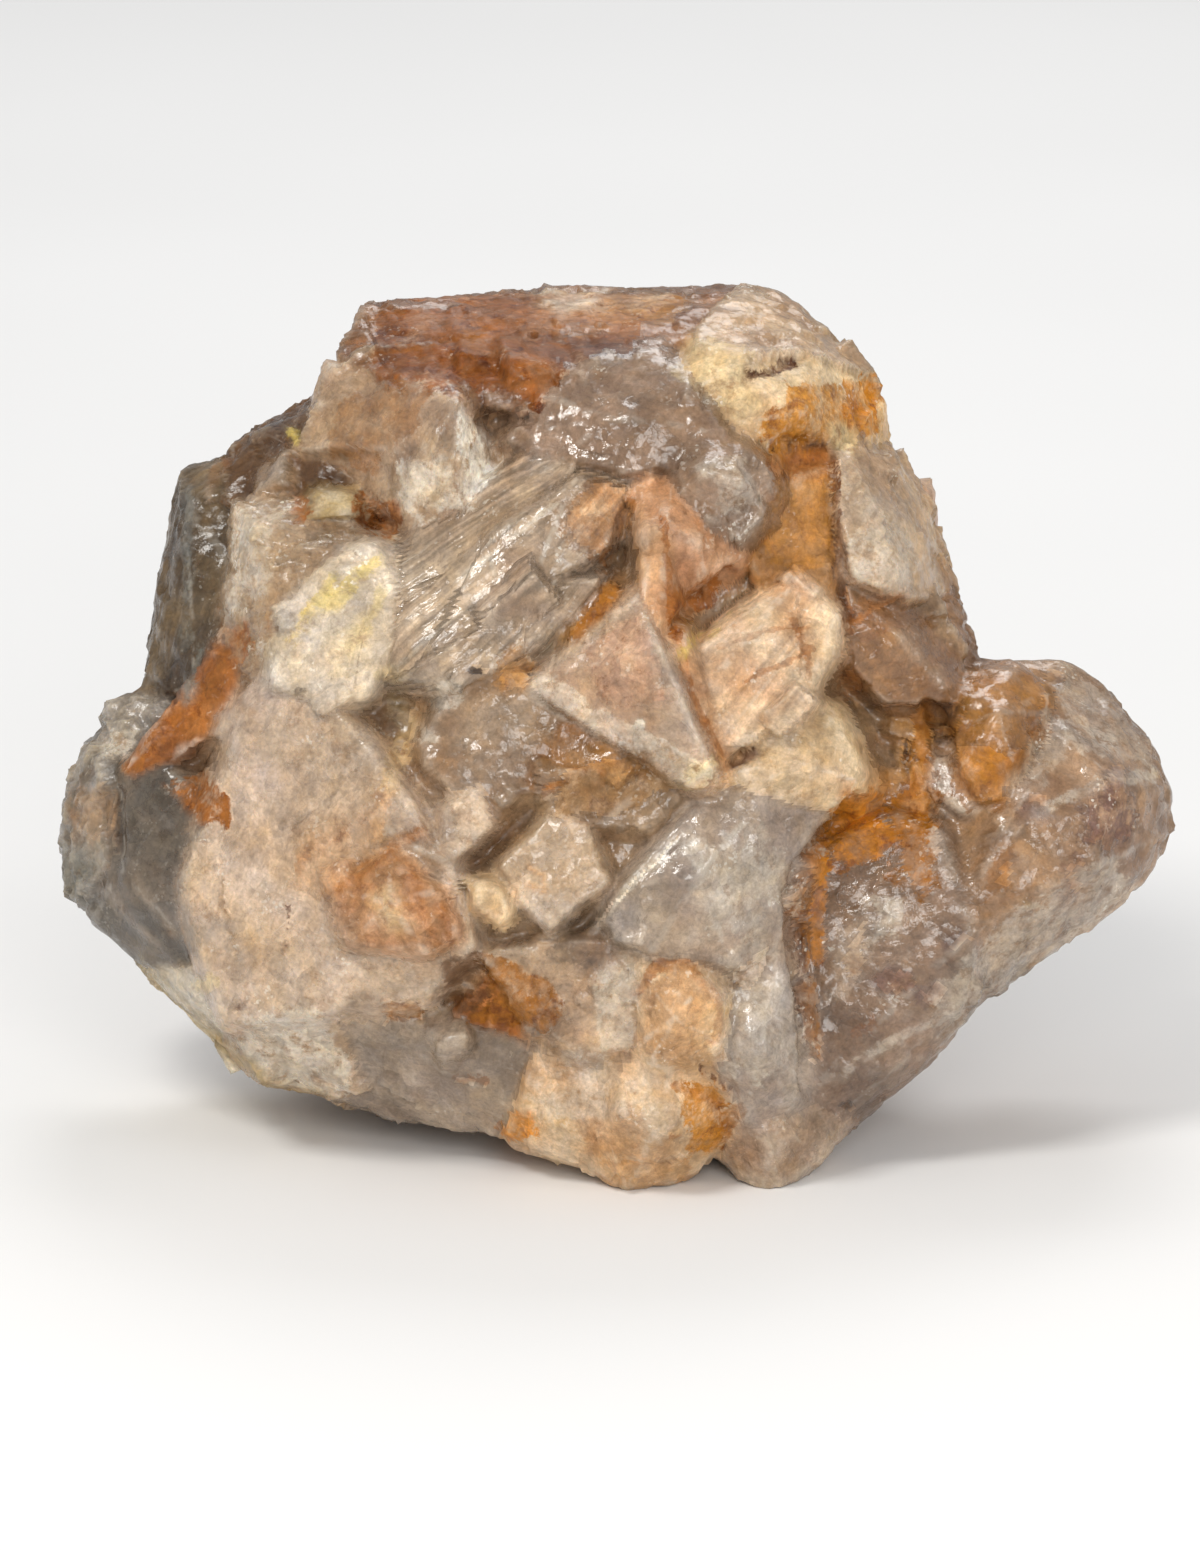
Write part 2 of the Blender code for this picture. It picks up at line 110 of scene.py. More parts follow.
class Look(Enum):
    """The finishes seen on the stone, each named for what it looks like."""

    SMOKY = Surface((0.74, 0.63, 0.50), (0.59, 0.47, 0.35), Slot.CLEAR, 0.35, 0.15)
    MAUVE = Surface((0.65, 0.54, 0.45), (0.51, 0.41, 0.33), Slot.CLEAR, 0.6, 0.12)
    MAUVE_BROWN = Surface((0.70, 0.54, 0.39), (0.54, 0.39, 0.26), Slot.CLEAR, 0.5, 0.35)
    MAUVE_GREY = Surface((0.72, 0.59, 0.46), (0.53, 0.40, 0.29), Slot.CLEAR, 0.7, 0.3)
    GREY_TAN = Surface((0.74, 0.64, 0.53), (0.62, 0.51, 0.41), Slot.CLOUDED, 0.5, 0.15)
    TAN_STEPPED = Surface((0.43, 0.31, 0.19), (0.29, 0.19, 0.11), Slot.CLOUDED, 0.3, 0.4, 0.3, 2.0, 0.1)
    OLIVE = Surface((0.62, 0.54, 0.36), (0.50, 0.41, 0.25), Slot.STAINED, 0.2, 0.2, 0.1)
    RUST_STREAKED = Surface((0.56, 0.40, 0.26), (0.40, 0.25, 0.13), Slot.CLOUDED, 0.25, 0.6, 0.2, 2.2, 0.06,
                            0.03, 1.9, 12.0)
    PALE = Surface((0.77, 0.67, 0.55), (0.67, 0.55, 0.43), Slot.CLOUDED, 0.6, 0.12)
    PALE_PINK = Surface((0.79, 0.71, 0.63), (0.72, 0.63, 0.54), Slot.CLOUDED, 0.55, 0.2, 0.12, 4.5, 0.03)
    PALE_CREAM = Surface((0.80, 0.72, 0.63), (0.72, 0.62, 0.51), Slot.CLOUDED, 0.5, 0.2, 0.12)
    CREAM = Surface((0.82, 0.73, 0.58), (0.74, 0.61, 0.44), Slot.STAINED, 0.6, 0.2, 0.18)
    CREAM_PEACH = Surface((0.81, 0.72, 0.60), (0.73, 0.58, 0.42), Slot.STAINED, 0.5, 0.4, 0.2)
    PEACH = Surface((0.76, 0.60, 0.47), (0.66, 0.48, 0.34), Slot.STAINED, 0.45, 0.4, 0.2)
    RUSTED = Surface((0.68, 0.44, 0.22), (0.52, 0.31, 0.14), Slot.STAINED, 0.2, 0.8, 0.25, 1.8, 0.1)
    AMBER = Surface((0.75, 0.57, 0.35), (0.62, 0.41, 0.20), Slot.CLEAR, 0.3, 0.5)
    OCHRE = Surface((0.76, 0.58, 0.38), (0.66, 0.47, 0.26), Slot.STAINED, 0.4, 0.5)
    HONEY = Surface((0.74, 0.54, 0.30), (0.60, 0.39, 0.18), Slot.CLEAR, 0.5, 0.3)
    LEMON = Surface((0.75, 0.71, 0.66), (0.69, 0.63, 0.54), Slot.STAINED, 0.6, 0.1, 0.16)
    FROSTED = Surface((0.71, 0.61, 0.49), (0.57, 0.47, 0.36), Slot.CLOUDED, 0.9, 0.15, 0.3, 2.0, 0.08)
    MILKY = Surface((0.82, 0.76, 0.69), (0.70, 0.62, 0.55), Slot.CLEAR, 0.75, 0.05, 0.12, 3.2)
    STRIATED = Surface((0.82, 0.74, 0.64), (0.69, 0.60, 0.51), Slot.CLEAR, 0.7, 0.12, 0.10, 3.0, 0.03,
                       0.16, 1.7, 44.0)
    TAN_BLADE = Surface((0.78, 0.63, 0.48), (0.64, 0.46, 0.31), Slot.STAINED, 0.4, 0.5, 0.12)
    WINDOW = Surface((0.74, 0.65, 0.56), (0.68, 0.57, 0.48), Slot.CLOUDED, 0.5, 0.1, 0.05)
    FIBROUS = Surface((0.82, 0.73, 0.61), (0.74, 0.60, 0.47), Slot.STAINED, 0.6, 0.25, 0.12, 3.0, 0.04,
                      0.10, 1.5, 55.0)
    SLATE = Surface((0.50, 0.45, 0.40), (0.38, 0.35, 0.31), Slot.CLEAR, 0.25, 0.02, 0.12, 4.0)
    DARK_SPECKLED = Surface((0.44, 0.37, 0.27), (0.27, 0.21, 0.14), Slot.CLOUDED, 0.12, 0.25, 0.2, 2.2, 0.1,
                            0.10, 1.6, 80.0)
    ROUGH_GREY = Surface((0.60, 0.57, 0.53), (0.41, 0.38, 0.34), Slot.CLOUDED, 0.45, 0.15, 0.35, 1.8, 0.12)
    DARK_CLEAR = Surface((0.77, 0.70, 0.62), (0.61, 0.54, 0.47), Slot.CLEAR, 0.5, 0.12, 0.2, 2.4, 0.06)
    OLIVE_CREAM = Surface((0.90, 0.86, 0.78), (0.82, 0.76, 0.65), Slot.CLOUDED, 0.4, 0.15)


@dataclass(frozen=True)
class Crystal:
    """One crystal: its bared corners, its root's depth, how much outline the root keeps, its finish, and
    how far its sides slope out below the corners."""

    name: str
    corners: tuple
    root: float | None
    taper: float = 0.85
    finish: Look = Look.GREY_TAN
    shoulder: float = 0.0


HEART = Crystal(
    "heart",
    ((-20, 70, 2), (0, 72, 0), (13, 72, 0), (21, 65, 2), (27, 52, 2), (31, 43, 0), (30, 27, 2),
     (15, 8, 5), (2, 3.5, 5.5), (-8, 6.5, 3), (-22, 10, 2), (-34, 20, 0), (-36, 34, 0), (-30, 55.5, 2)),
    root=-29, taper=0.78, finish=Look.SMOKY,
)

BREAST = Crystal(
    "breast",
    ((-16, 50, 8), (-4, 58, 8.5), (10, 57, 8), (18, 50, 7.5), (19, 36, 8), (15, 20, 9), (12, 10, 9.5),
     (3, 9, 12), (-4, 11, 10.5), (-11, 18, 11), (-19, 22, 12), (-20, 36, 11), (-3, 41, 13.5),
     (6, 33, 14.5), (0, 22, 15.5)),
    root=-10, taper=0.9, finish=Look.SMOKY,
)

CROWN: tuple[Crystal, ...] = (
    Crystal(
        "plateau",
        ((-20, 73.9, -6), (-9, 75.2, -12), (2, 75.6, -14), (12, 75.9, -12), (12, 71.5, 2), (3, 69, 7),
         (-3, 67, 9), (-8, 64, 9), (-17, 66, 8), (-22, 69.5, 0)),
        root=-30, finish=Look.RUST_STREAKED,
    ),
    Crystal(
        "shoulder",
        ((-23.7, 65.6, 1), (-22.4, 68.4, 1), (-13, 67, 8), (-11.6, 65.2, 12), (-8.3, 61, 6),
         (-11.3, 56.5, 12), (-15.5, 54.5, 10), (-19, 57, 7), (-23, 62, 3), (-14, 61, 13)),
        root=-10, finish=Look.GREY_TAN, shoulder=0.8,
    ),
    Crystal(
        "left_step",
        ((-31, 61.9, -4), (-28, 62.4, -3), (-27.5, 63.9, -4), (-24.2, 65, -3), (-22, 66.4, 0),
         (-19, 62, 5), (-18.5, 57, 5), (-25, 55.5, 4), (-31, 57, 0)),
        root=-18, finish=Look.TAN_STEPPED, shoulder=0.5,
    ),
    Crystal(
        "olive_box",
        ((-24.3, 55.4, 8.5), (-24, 57.9, 8), (-20.4, 57.8, 8.3), (-20.2, 55.4, 8.8)),
        root=2, taper=1.0, finish=Look.OLIVE, shoulder=0.5,
    ),
    Crystal(
        "grey_ridge",
        ((-8.5, 61.8, 9), (-5, 65.8, 9.5), (-1.5, 69, 8), (5, 70.2, 6), (8, 66.5, 10), (10.5, 62.5, 12),
         (9, 60.5, 12.5), (3, 59, 13), (-3.5, 60.3, 12), (1, 63.5, 12.5)),
        root=-8, finish=Look.MAUVE, shoulder=0.8,
    ),
    Crystal(
        "grey_knob",
        ((5.5, 60, 12), (8, 61.6, 12.5), (11.5, 61.8, 12), (14.3, 60, 11.5), (15, 57.5, 11.5),
         (13.8, 55, 12), (11.8, 53.3, 12.5), (9.5, 54.2, 14), (6.5, 57.5, 14.5), (9, 59.5, 16),
         (11.5, 58.5, 16)),
        root=0, finish=Look.MAUVE, shoulder=0.8,
    ),
    Crystal(
        "right_cap",
        ((8, 71.5, 3), (12, 75.7, -8), (15.5, 75.2, -10), (18.7, 72.2, -5), (23.1, 67.7, -4),
         (18, 69.3, 4), (12, 69, 8.5), (8, 69.5, 8)),
        root=-24, finish=Look.PALE,
    ),
    Crystal(
        "cream_block",
        ((5.8, 67.5, 8), (8, 70.5, 5), (12, 68.5, 9.5), (18, 69, 4), (22.9, 67, -4), (23.2, 63, -3),
         (20, 61.2, 4), (14, 61.8, 8.5), (11, 63.3, 10), (7, 65.8, 9.5), (17, 64.5, 9)),
        root=-20, finish=Look.CREAM, shoulder=0.8,
    ),
)

LEFT: tuple[Crystal, ...] = (
    Crystal(
        "dark_slab",
        ((-35.3, 60, -6), (-31.5, 61.6, -7), (-28.5, 60, -2), (-29.5, 50, 2), (-33.5, 41, 1),
         (-38.4, 41, -5), (-36.8, 52, -6), (-34.5, 57, -2), (-33.8, 42, 1.5)),
        root=-22, finish=Look.DARK_SPECKLED,
    ),
    Crystal(
        "left_ledge",
        ((-42.3, 39.2, -5), (-41.3, 41, -5.5), (-37, 41.4, -5), (-33, 40.2, -1), (-34, 34, -1),
         (-39, 34.5, -3), (-41.5, 38.1, -4)),
        root=-14, finish=Look.ROUGH_GREY,
    ),
    Crystal(
        "upper_lump",
        ((-41, 38.6, -6), (-43.4, 37.2, -7), (-45, 33, -8), (-43, 29, -3), (-38, 30, -1),
         (-39, 36.5, -2), (-42, 35, -2.5)),
        root=-20, finish=Look.ROUGH_GREY,
    ),
    Crystal(
        "lower_lump",
        ((-45.3, 32.5, -8), (-45.7, 28.5, -8), (-45, 24, -7), (-42.8, 22.7, -6), (-40.5, 24, -2),
         (-40, 31, -1), (-42.5, 29, -2.5)),
        root=-20, finish=Look.ROUGH_GREY,
    ),
    Crystal(
        "slate_face",
        ((-40.6, 35, -1), (-38.5, 36.5, 0), (-34, 34, 4), (-33, 26, 5), (-31.5, 18, 4), (-35, 18, 0),
         (-38.4, 18.8, -2), (-42.4, 22.3, -4), (-41, 27.5, -2), (-40, 26.5, 1), (-36.5, 23, 3)),
        root=-18, finish=Look.SLATE, shoulder=0.5,
    ),
    Crystal(
        "rust_band",
        ((-29, 46.8, 6), (-31.2, 46.3, 4), (-34, 40.8, 3), (-39.6, 35.2, 0.5), (-38.5, 34.3, 1),
         (-33.5, 36.8, 4), (-30.8, 40.5, 6), (-29, 44, 7)),
        root=-6, finish=Look.RUSTED, shoulder=0.5,
    ),
    Crystal(
        "frost_crystal",
        ((-30, 56.8, 5), (-26, 56.9, 6), (-23, 55.3, 8), (-18.5, 53.8, 10), (-19.5, 52, 12),
         (-25, 49.5, 11), (-28, 43, 9), (-29.5, 41, 7), (-30.8, 49, 5), (-28.5, 54, 9.5),
         (-27.8, 46, 10.5)),
        root=-10, finish=Look.FROSTED, shoulder=0.8,
    ),
    Crystal(
        "lemon_face",
        ((-18.5, 53.3, 12), (-21.5, 52.6, 12), (-25.3, 49, 12), (-27.3, 45, 11), (-26.8, 41.5, 12),
         (-22, 40, 13.5), (-19, 41, 14.5), (-17, 45, 14.5), (-17, 50, 13.5)),
        root=-5, finish=Look.LEMON, shoulder=1.2,
    ),
    Crystal(
        "pale_face",
        ((-29.5, 40, 9), (-23, 41, 13), (-19, 37, 15), (-17.5, 30, 16.5), (-12, 27, 17.5),
         (-10.3, 20.5, 17), (-14.5, 15.8, 13.5), (-23, 14.5, 11.5), (-31, 13.8, 7), (-32.5, 18, 7),
         (-34.5, 25.5, 5.5), (-33.5, 28.8, 6), (-30.8, 31, 8)),
        root=-12, finish=Look.PALE_PINK, shoulder=1.2,
    ),
    Crystal(
        "pink_fold",
        ((-21.8, 25, 15.5), (-17, 28.5, 17.5), (-13, 25, 19), (-11.5, 21.5, 19), (-14, 19.8, 18.5),
         (-20.5, 20.5, 16.5), (-17, 24, 19.2)),
        root=-3, finish=Look.PEACH, shoulder=0.8,
    ),
)

FACE: tuple[Crystal, ...] = (
    Crystal(
        "slab_high",
        ((-16.8, 51.5, 12), (-15.5, 54.5, 10.5), (-6, 61.2, 9.5), (-3, 61, 10), (-2, 59.5, 12.5),
         (-9, 54, 14.5), (-16.5, 48.5, 14)),
        root=-4, finish=Look.STRIATED, shoulder=1.2,
    ),
    Crystal(
        "slab_middle",
        ((-17, 48, 13.5), (-9, 54.2, 15), (-2, 58.7, 14), (2.5, 58, 12), (1, 53, 14), (-6, 49, 17),
         (-15, 43, 16.5), (-17.5, 42.5, 14.5)),
        root=-4, finish=Look.STRIATED, shoulder=1.2,
    ),
    Crystal(
        "slab_low",
        ((-17, 42, 15), (-14.5, 43.5, 17), (-6, 49.2, 17.5), (0.5, 51, 15), (-2, 47.5, 16),
         (-6, 44, 16.5), (-12, 41, 16)),
        root=-4, finish=Look.STRIATED, shoulder=1.2,
    ),
    Crystal(
        "amber_wedge",
        ((-3.8, 46, 15.5), (-1, 50, 14.5), (2, 50, 14.5), (1.5, 48.5, 16.5), (-2.5, 45, 17)),
        root=-3, finish=Look.AMBER, shoulder=1.2,
    ),
    Crystal(
        "pink_peak",
        ((3.3, 57.8, 13), (6, 58.3, 13), (9.5, 55.8, 13), (12, 52.5, 12), (9, 50, 13.5),
         (5.5, 48.5, 14), (4.3, 53.5, 17), (5.5, 55.5, 17), (8, 53.5, 16.5)),
        root=-3, finish=Look.PEACH, shoulder=1.2,
    ),
    Crystal(
        "blade",
        ((3.2, 56, 15.5), (5.2, 55, 16.5), (5.6, 50, 17), (6.5, 43, 18.5), (10.2, 34.8, 18),
         (9, 33, 17.5), (7, 34, 18), (5.2, 41, 20), (3.4, 49, 18.5), (2.9, 53, 16)),
        root=-3, finish=Look.TAN_BLADE, shoulder=0.8,
    ),
    Crystal(
        "window",
        ((-5.8, 41.8, 16.5), (2.9, 49.4, 18), (5, 44.5, 21.5), (9, 35, 21), (8.7, 33, 20),
         (6.9, 33.2, 20), (-4.5, 40.5, 17)),
        root=-3, taper=0.9, finish=Look.WINDOW, shoulder=1.2,
    ),
    Crystal(
        "cream_fan",
        ((7.2, 44.2, 15), (13, 48.7, 12.5), (16.5, 50.8, 12), (19.6, 47.5, 12.5), (19.2, 44, 13.5),
         (16.5, 40, 16), (12, 36.7, 18), (9.5, 36.5, 18), (7.2, 40, 17.5)),
        root=-3, finish=Look.FIBROUS, shoulder=1.2,
    ),
    Crystal(
        "cream_shards",
        ((10.6, 34.6, 16.5), (14, 38.3, 15.5), (19.8, 39.8, 12), (20.6, 37, 12.5), (21.9, 33.6, 11.5),
         (20, 31.8, 12), (16, 31.9, 14.5), (12, 32.7, 16), (16, 35.5, 17)),
        root=-3, finish=Look.CREAM, shoulder=1.2,
    ),
    Crystal(
        "brown_clear",
        ((-15, 37, 14.5), (-11.5, 43, 15.5), (-6, 42.8, 16), (-3.5, 39, 15.5), (-4, 34, 15),
         (-8, 30.5, 16), (-11.5, 32.5, 16), (-14, 34.5, 15)),
        root=-3, finish=Look.SMOKY, shoulder=1.2,
    ),
    Crystal(
        "amber_ledge",
        ((-5.3, 39.8, 14.5), (0, 37.8, 16.5), (5, 35.5, 18), (-4.5, 33.3, 16.5), (-7, 32, 15.5)),
        root=-3, finish=Look.AMBER, shoulder=1.2,
    ),
    Crystal(
        "smoke_clear",
        ((-4.5, 32.5, 16), (1.5, 36, 17), (5.5, 35, 17.5), (7.2, 32.5, 17), (4, 29.5, 17),
         (0, 30, 17.5), (-4.5, 31, 16.5)),
        root=-3, finish=Look.SMOKY, shoulder=1.2,
    ),
    Crystal(
        "pale_cube",
        ((-13.2, 31.5, 16.5), (-10, 33.4, 16.5), (-8.9, 30, 17.5), (-11.5, 27.2, 18), (-12.8, 29, 17.5)),
        root=-3, finish=Look.PALE_PINK, shoulder=0.8,
    ),
    Crystal(
        "cream_cube",
        ((-8.4, 26.8, 17.5), (-4.2, 30.8, 17), (-1.2, 30.2, 17.5), (0.5, 25.5, 19), (-4.2, 21.8, 19),
         (-6.5, 24, 18.5)),
        root=-3, finish=Look.PALE_CREAM, shoulder=0.8,
    ),
    Crystal(
        "small_cream",
        ((-10.6, 25.2, 18.5), (-9.5, 25.8, 18.5), (-8, 24.8, 19.5), (-7.3, 22.8, 19.5),
         (-8.5, 22, 19.5), (-10, 23.5, 19)),
        root=-3, finish=Look.CREAM, shoulder=0.8,
    ),
    Crystal(
        "milky_face",
        ((6.8, 30, 18), (9, 33.3, 17.5), (14, 33, 15.5), (18, 31, 12.5), (17, 27, 13), (15.8, 24.5, 13),
         (14.5, 20, 14), (11, 18.5, 16), (4, 19.5, 18), (0, 22.5, 18.5), (1.5, 25, 19), (8, 26, 20)),
        root=-3, finish=Look.MILKY, shoulder=1.2,
    ),
)

FOOT: tuple[Crystal, ...] = (
    Crystal(
        "under_grey",
        ((-10, 20, 15.5), (-3, 21, 17), (4, 20.5, 17), (3.5, 12, 15), (-1.5, 11, 14.5), (-4, 12.5, 14),
         (-4.5, 17, 15)),
        root=0, finish=Look.GREY_TAN, shoulder=1.2,
    ),
    Crystal(
        "rust_shelf",
        ((-9.8, 19.2, 12.5), (-4.3, 17.2, 13.5), (-3.6, 14, 13), (-6, 12.6, 12), (-12, 14.3, 11),
         (-10, 16, 12)),
        root=0, finish=Look.RUSTED, shoulder=0.8,
    ),
    Crystal(
        "dark_underside",
        ((-21.5, 14.5, 9), (-12, 14.2, 10), (-5, 12.8, 11.5), (-5, 6, 7), (-8, 4.8, 4), (-15, 5.7, 1),
         (-22.5, 7.2, -1), (-20, 9, 3)),
        root=-14, finish=Look.DARK_CLEAR, shoulder=0.5,
    ),
    Crystal(
        "grey_underside",
        ((-30, 14, 7), (-22, 14.7, 10), (-20, 9.5, 4), (-22.5, 7.6, 0), (-27.8, 8.5, -3),
         (-31, 11.3, -2)),
        root=-16, finish=Look.PALE, shoulder=0.5,
    ),
    Crystal(
        "olive_edge",
        ((-38.6, 19.6, -3), (-38.2, 17.8, -4), (-33.2, 12.6, -4), (-27.8, 8, -4), (-24, 12, 3),
         (-31, 15, 5.5), (-33.5, 18.7, 3)),
        root=-18, finish=Look.OLIVE_CREAM,
    ),
    Crystal(
        "cream_knob",
        ((-8, 4.9, 7), (-6.8, 3.7, 6), (-4, 3.3, 7), (-1, 1.6, 8), (3, 3, 12), (4, 9, 14),
         (1, 12.8, 14), (-4.3, 13, 12.5), (-6, 9.5, 11)),
        root=-8, finish=Look.CREAM_PEACH, shoulder=0.5,
    ),
    Crystal(
        "honey_knob",
        ((0, 0.6, 7), (2, -0.4, 8), (5, 0.2, 8), (8, 2, 8.5), (11, 4.7, 8), (12.2, 6.2, 8.5),
         (9.5, 9, 12), (6, 10.8, 13.5), (3, 10.8, 14), (1, 6, 14.5), (5, 6, 15.5)),
        root=-8, finish=Look.CREAM_PEACH, shoulder=0.5,
    ),
    Crystal(
        "peach_block",
        ((3.1, 12, 15.5), (3.4, 17.8, 17), (6.3, 19.1, 17.5), (8.6, 17.6, 17.5), (10.2, 15.8, 16.5),
         (9.8, 12, 15.5), (8, 10.5, 15), (4, 10.3, 15), (6, 14.5, 18.5)),
        root=2, finish=Look.CREAM_PEACH, shoulder=1.2,
    ),
    Crystal(
        "clear_block",
        ((9.8, 16, 14.5), (14.5, 19.5, 13.5), (15.6, 21.5, 12.5), (17, 15, 11.5), (17.3, 9, 10.5),
         (15.8, 7, 10.5), (12, 6.6, 11.5), (9, 9.8, 13), (13, 12, 16)),
        root=-4, finish=Look.MILKY, shoulder=1.2,
    ),
    Crystal(
        "grey_foot",
        ((10, 3, 7), (11.2, 1.2, 7), (13.5, -0.2, 7.5), (15, -0.4, 7.5), (17.5, 2.3, 6),
         (20.8, 5.2, 4.5), (19, 11, 6.5), (12.5, 9, 10), (10.8, 5.5, 9.5), (14, 4, 10.5)),
        root=-8, finish=Look.GREY_TAN, shoulder=0.5,
    ),
    Crystal(
        "rear_foot",
        ((-20, 6.2, -17), (-4, 5.4, -15.5), (17, 5.2, -14), (15, 8.6, -31), (-17, 9, -31),
         (-23, 22, -18), (19, 22, -16), (-14, 25, -33), (13, 23, -33)),
        root=-6, taper=0.9, finish=Look.GREY_TAN,
    ),
)

RIGHT: tuple[Crystal, ...] = (
    Crystal(
        "upper_slab",
        ((19.7, 60.5, 8), (24.2, 61.5, -2), (26.9, 56.9, -3), (28.9, 51, -3), (28.7, 49.8, -1),
         (25, 49, 9), (21, 50.8, 11), (19.8, 56, 10), (24.5, 53, 9.5)),
        root=-20, finish=Look.PALE, shoulder=0.8,
    ),
    Crystal(
        "lower_slab",
        ((20.5, 50, 8.5), (28.7, 49.8, -2), (30.3, 47.5, -3), (31.4, 43.3, -1), (30, 40.2, 4),
         (23.5, 40.2, 7), (21, 43, 8.5), (25, 46, 7.5)),
        root=-20, finish=Look.MAUVE_BROWN, shoulder=0.8,
    ),
    Crystal(
        "ochre_panel",
        ((14.8, 59, 9), (18.8, 59.2, 8.5), (19.3, 52, 9.5), (19.2, 47, 10), (14, 49.5, 11),
         (12, 52.5, 11)),
        root=-6, finish=Look.OCHRE, shoulder=1.2,
    ),
    Crystal(
        "amber_recess",
        ((14, 59, 6.5), (19.2, 59, 6.5), (19.2, 62, 6), (13.5, 62, 6.5)),
        root=-6, finish=Look.RUSTED,
    ),
    Crystal(
        "honey_crystal",
        ((28.6, 38.5, 5), (30.5, 41.8, 3.5), (34.2, 43.6, 1.5), (37.3, 41, 2), (37, 39.5, 3.5),
         (34, 35.5, 7.5), (33.3, 32.5, 7.5), (31.5, 32.3, 7.5), (30, 35, 7.5), (33, 39.5, 8)),
        root=-8, finish=Look.HONEY, shoulder=0.8,
    ),
    Crystal(
        "honey_low",
        ((24.8, 39.5, 2.5), (26.5, 40, 2.5), (28, 37.5, 3.5), (27, 33, 5), (25, 32, 5), (24.5, 36, 4)),
        root=-8, finish=Look.AMBER, shoulder=0.8,
    ),
    Crystal(
        "brown_low",
        ((20.5, 39, 2.5), (24.5, 38.5, 2), (25, 33, 4.5), (22, 32, 5), (20.5, 35, 4)),
        root=-8, finish=Look.SMOKY, shoulder=0.8,
    ),
    Crystal(
        "grey_low",
        ((27.5, 36.5, 3.5), (30, 35.5, 4.5), (31.5, 32, 6.5), (30, 31, 6.5), (27.2, 33.5, 5)),
        root=-8, finish=Look.MILKY, shoulder=0.8,
    ),
    Crystal(
        "right_low",
        ((17.2, 8, 8), (17, 22, 8.5), (19, 29, 8), (24, 31.5, 7.5), (28, 30, 8), (31, 22, 9.5),
         (30.2, 15.5, 8), (25, 10, 6), (20.3, 5.2, 4), (18, 4, 5), (27.5, 12, 3), (22, 7.2, 3)),
        root=-16, finish=Look.MAUVE, shoulder=1.2,
    ),
    Crystal(
        "right_high",
        ((28, 40.5, -2), (33, 43.6, -4), (38.7, 43.9, -5), (42.3, 41.4, -5), (46, 37, -5),
         (47.8, 33.3, -4), (47.5, 29.3, -3), (45.2, 25.4, -2), (37, 19.8, 0), (30, 14, 2), (29, 20, 9),
         (33, 30, 8.5), (38.5, 37.5, 4), (43, 34, 4.5), (41, 27, 6.5)),
        root=-20, finish=Look.MAUVE_GREY, shoulder=0.5,
    ),
    Crystal(
        "right_nub",
        ((27, 12.3, 1), (28.6, 11.7, 1), (29.6, 12.6, 0.5), (30.5, 14.5, 1), (28, 15, 3)),
        root=-6, finish=Look.PEACH,
    ),
)


class Stain(Enum):
    """Colours that lie on the stone in patches, veins and spots, as display values."""

    BRIGHT = (0.97, 0.94, 0.88)
    WHITE = (0.93, 0.88, 0.80)
    PALE = (0.79, 0.70, 0.60)
    GREY = (0.64, 0.56, 0.48)
    BLUE_GREY = (0.50, 0.50, 0.47)
    SLATE = (0.41, 0.38, 0.34)
    DARK = (0.23, 0.18, 0.15)
    SMOKE = (0.49, 0.35, 0.19)
    SMOKY_BROWN = (0.38, 0.25, 0.14)
    PLUM = (0.42, 0.31, 0.28)
    PINK = (0.68, 0.53, 0.43)
    PEACH = (0.79, 0.61, 0.43)
    CREAM = (0.84, 0.75, 0.57)
    LEMON = (0.82, 0.72, 0.38)
    OLIVE = (0.64, 0.57, 0.40)
    OCHRE = (0.73, 0.48, 0.13)
    AMBER = (0.60, 0.37, 0.08)
    UMBER = (0.49, 0.27, 0.07)
    ORANGE = (0.79, 0.49, 0.06)
    RUST = (0.61, 0.37, 0.15)
    DEEP_RUST = (0.32, 0.15, 0.05)


FRAYED = (Stain.RUST, Stain.DEEP_RUST, Stain.AMBER, Stain.UMBER, Stain.ORANGE, Stain.OCHRE)


@dataclass(frozen=True)
class Mark:
    """A stain on the front, seen from the eye, and a few painted shadows and highlights: a filled outline, or a line
    with a width.
    """

    name: str
    stain: Stain
    strength: float
    places: tuple
    width: float = 0.0
    soft: float = 0.5

    def away(self, seen: np.ndarray) -> np.ndarray:
        """Distance of seen places from the mark, negative inside it.

        A place's distance from one stretch is that from its nearest point, p + t·(q - p) with t held from 0
        to 1. An outline counts how often a level line from the place crosses it to tell inside from outside.

        Args:
            seen: places as (u, v), (n, 2).

        Returns:
            Distances in millimetres, (n,).
        """
        corners = np.array(self.places, dtype=float)
        closed = not self.width
        ends = np.roll(corners, -1, axis=0) if closed else corners[1:]
        least = np.full(len(seen), np.inf)
        inside = np.zeros(len(seen), dtype=bool)
        for start, end in zip(corners, ends):
            along = end - start
            share = np.clip((seen - start) @ along / max(along @ along, 1e-9), 0.0, 1.0)
            least = np.minimum(least, np.linalg.norm(seen - start - share[:, None] * along, axis=1))
            if closed and start[1] != end[1]:
                between = (start[1] > seen[:, 1]) != (end[1] > seen[:, 1])
                level = start[0] + (seen[:, 1] - start[1]) / along[1] * along[0]
                inside ^= between & (seen[:, 0] < level)
        return np.where(inside, -least, least) if closed else least - 0.5 * self.width


@dataclass(frozen=True)
class Crack:
    """A crack opened along a line on the front, seen from the eye."""

    depth: float
    width: float
    places: tuple

    def away(self, seen: np.ndarray) -> np.ndarray:
        """Distance of seen places from the line."""
        return Mark("crack", Stain.DARK, 1.0, self.places, 1e-6).away(seen)


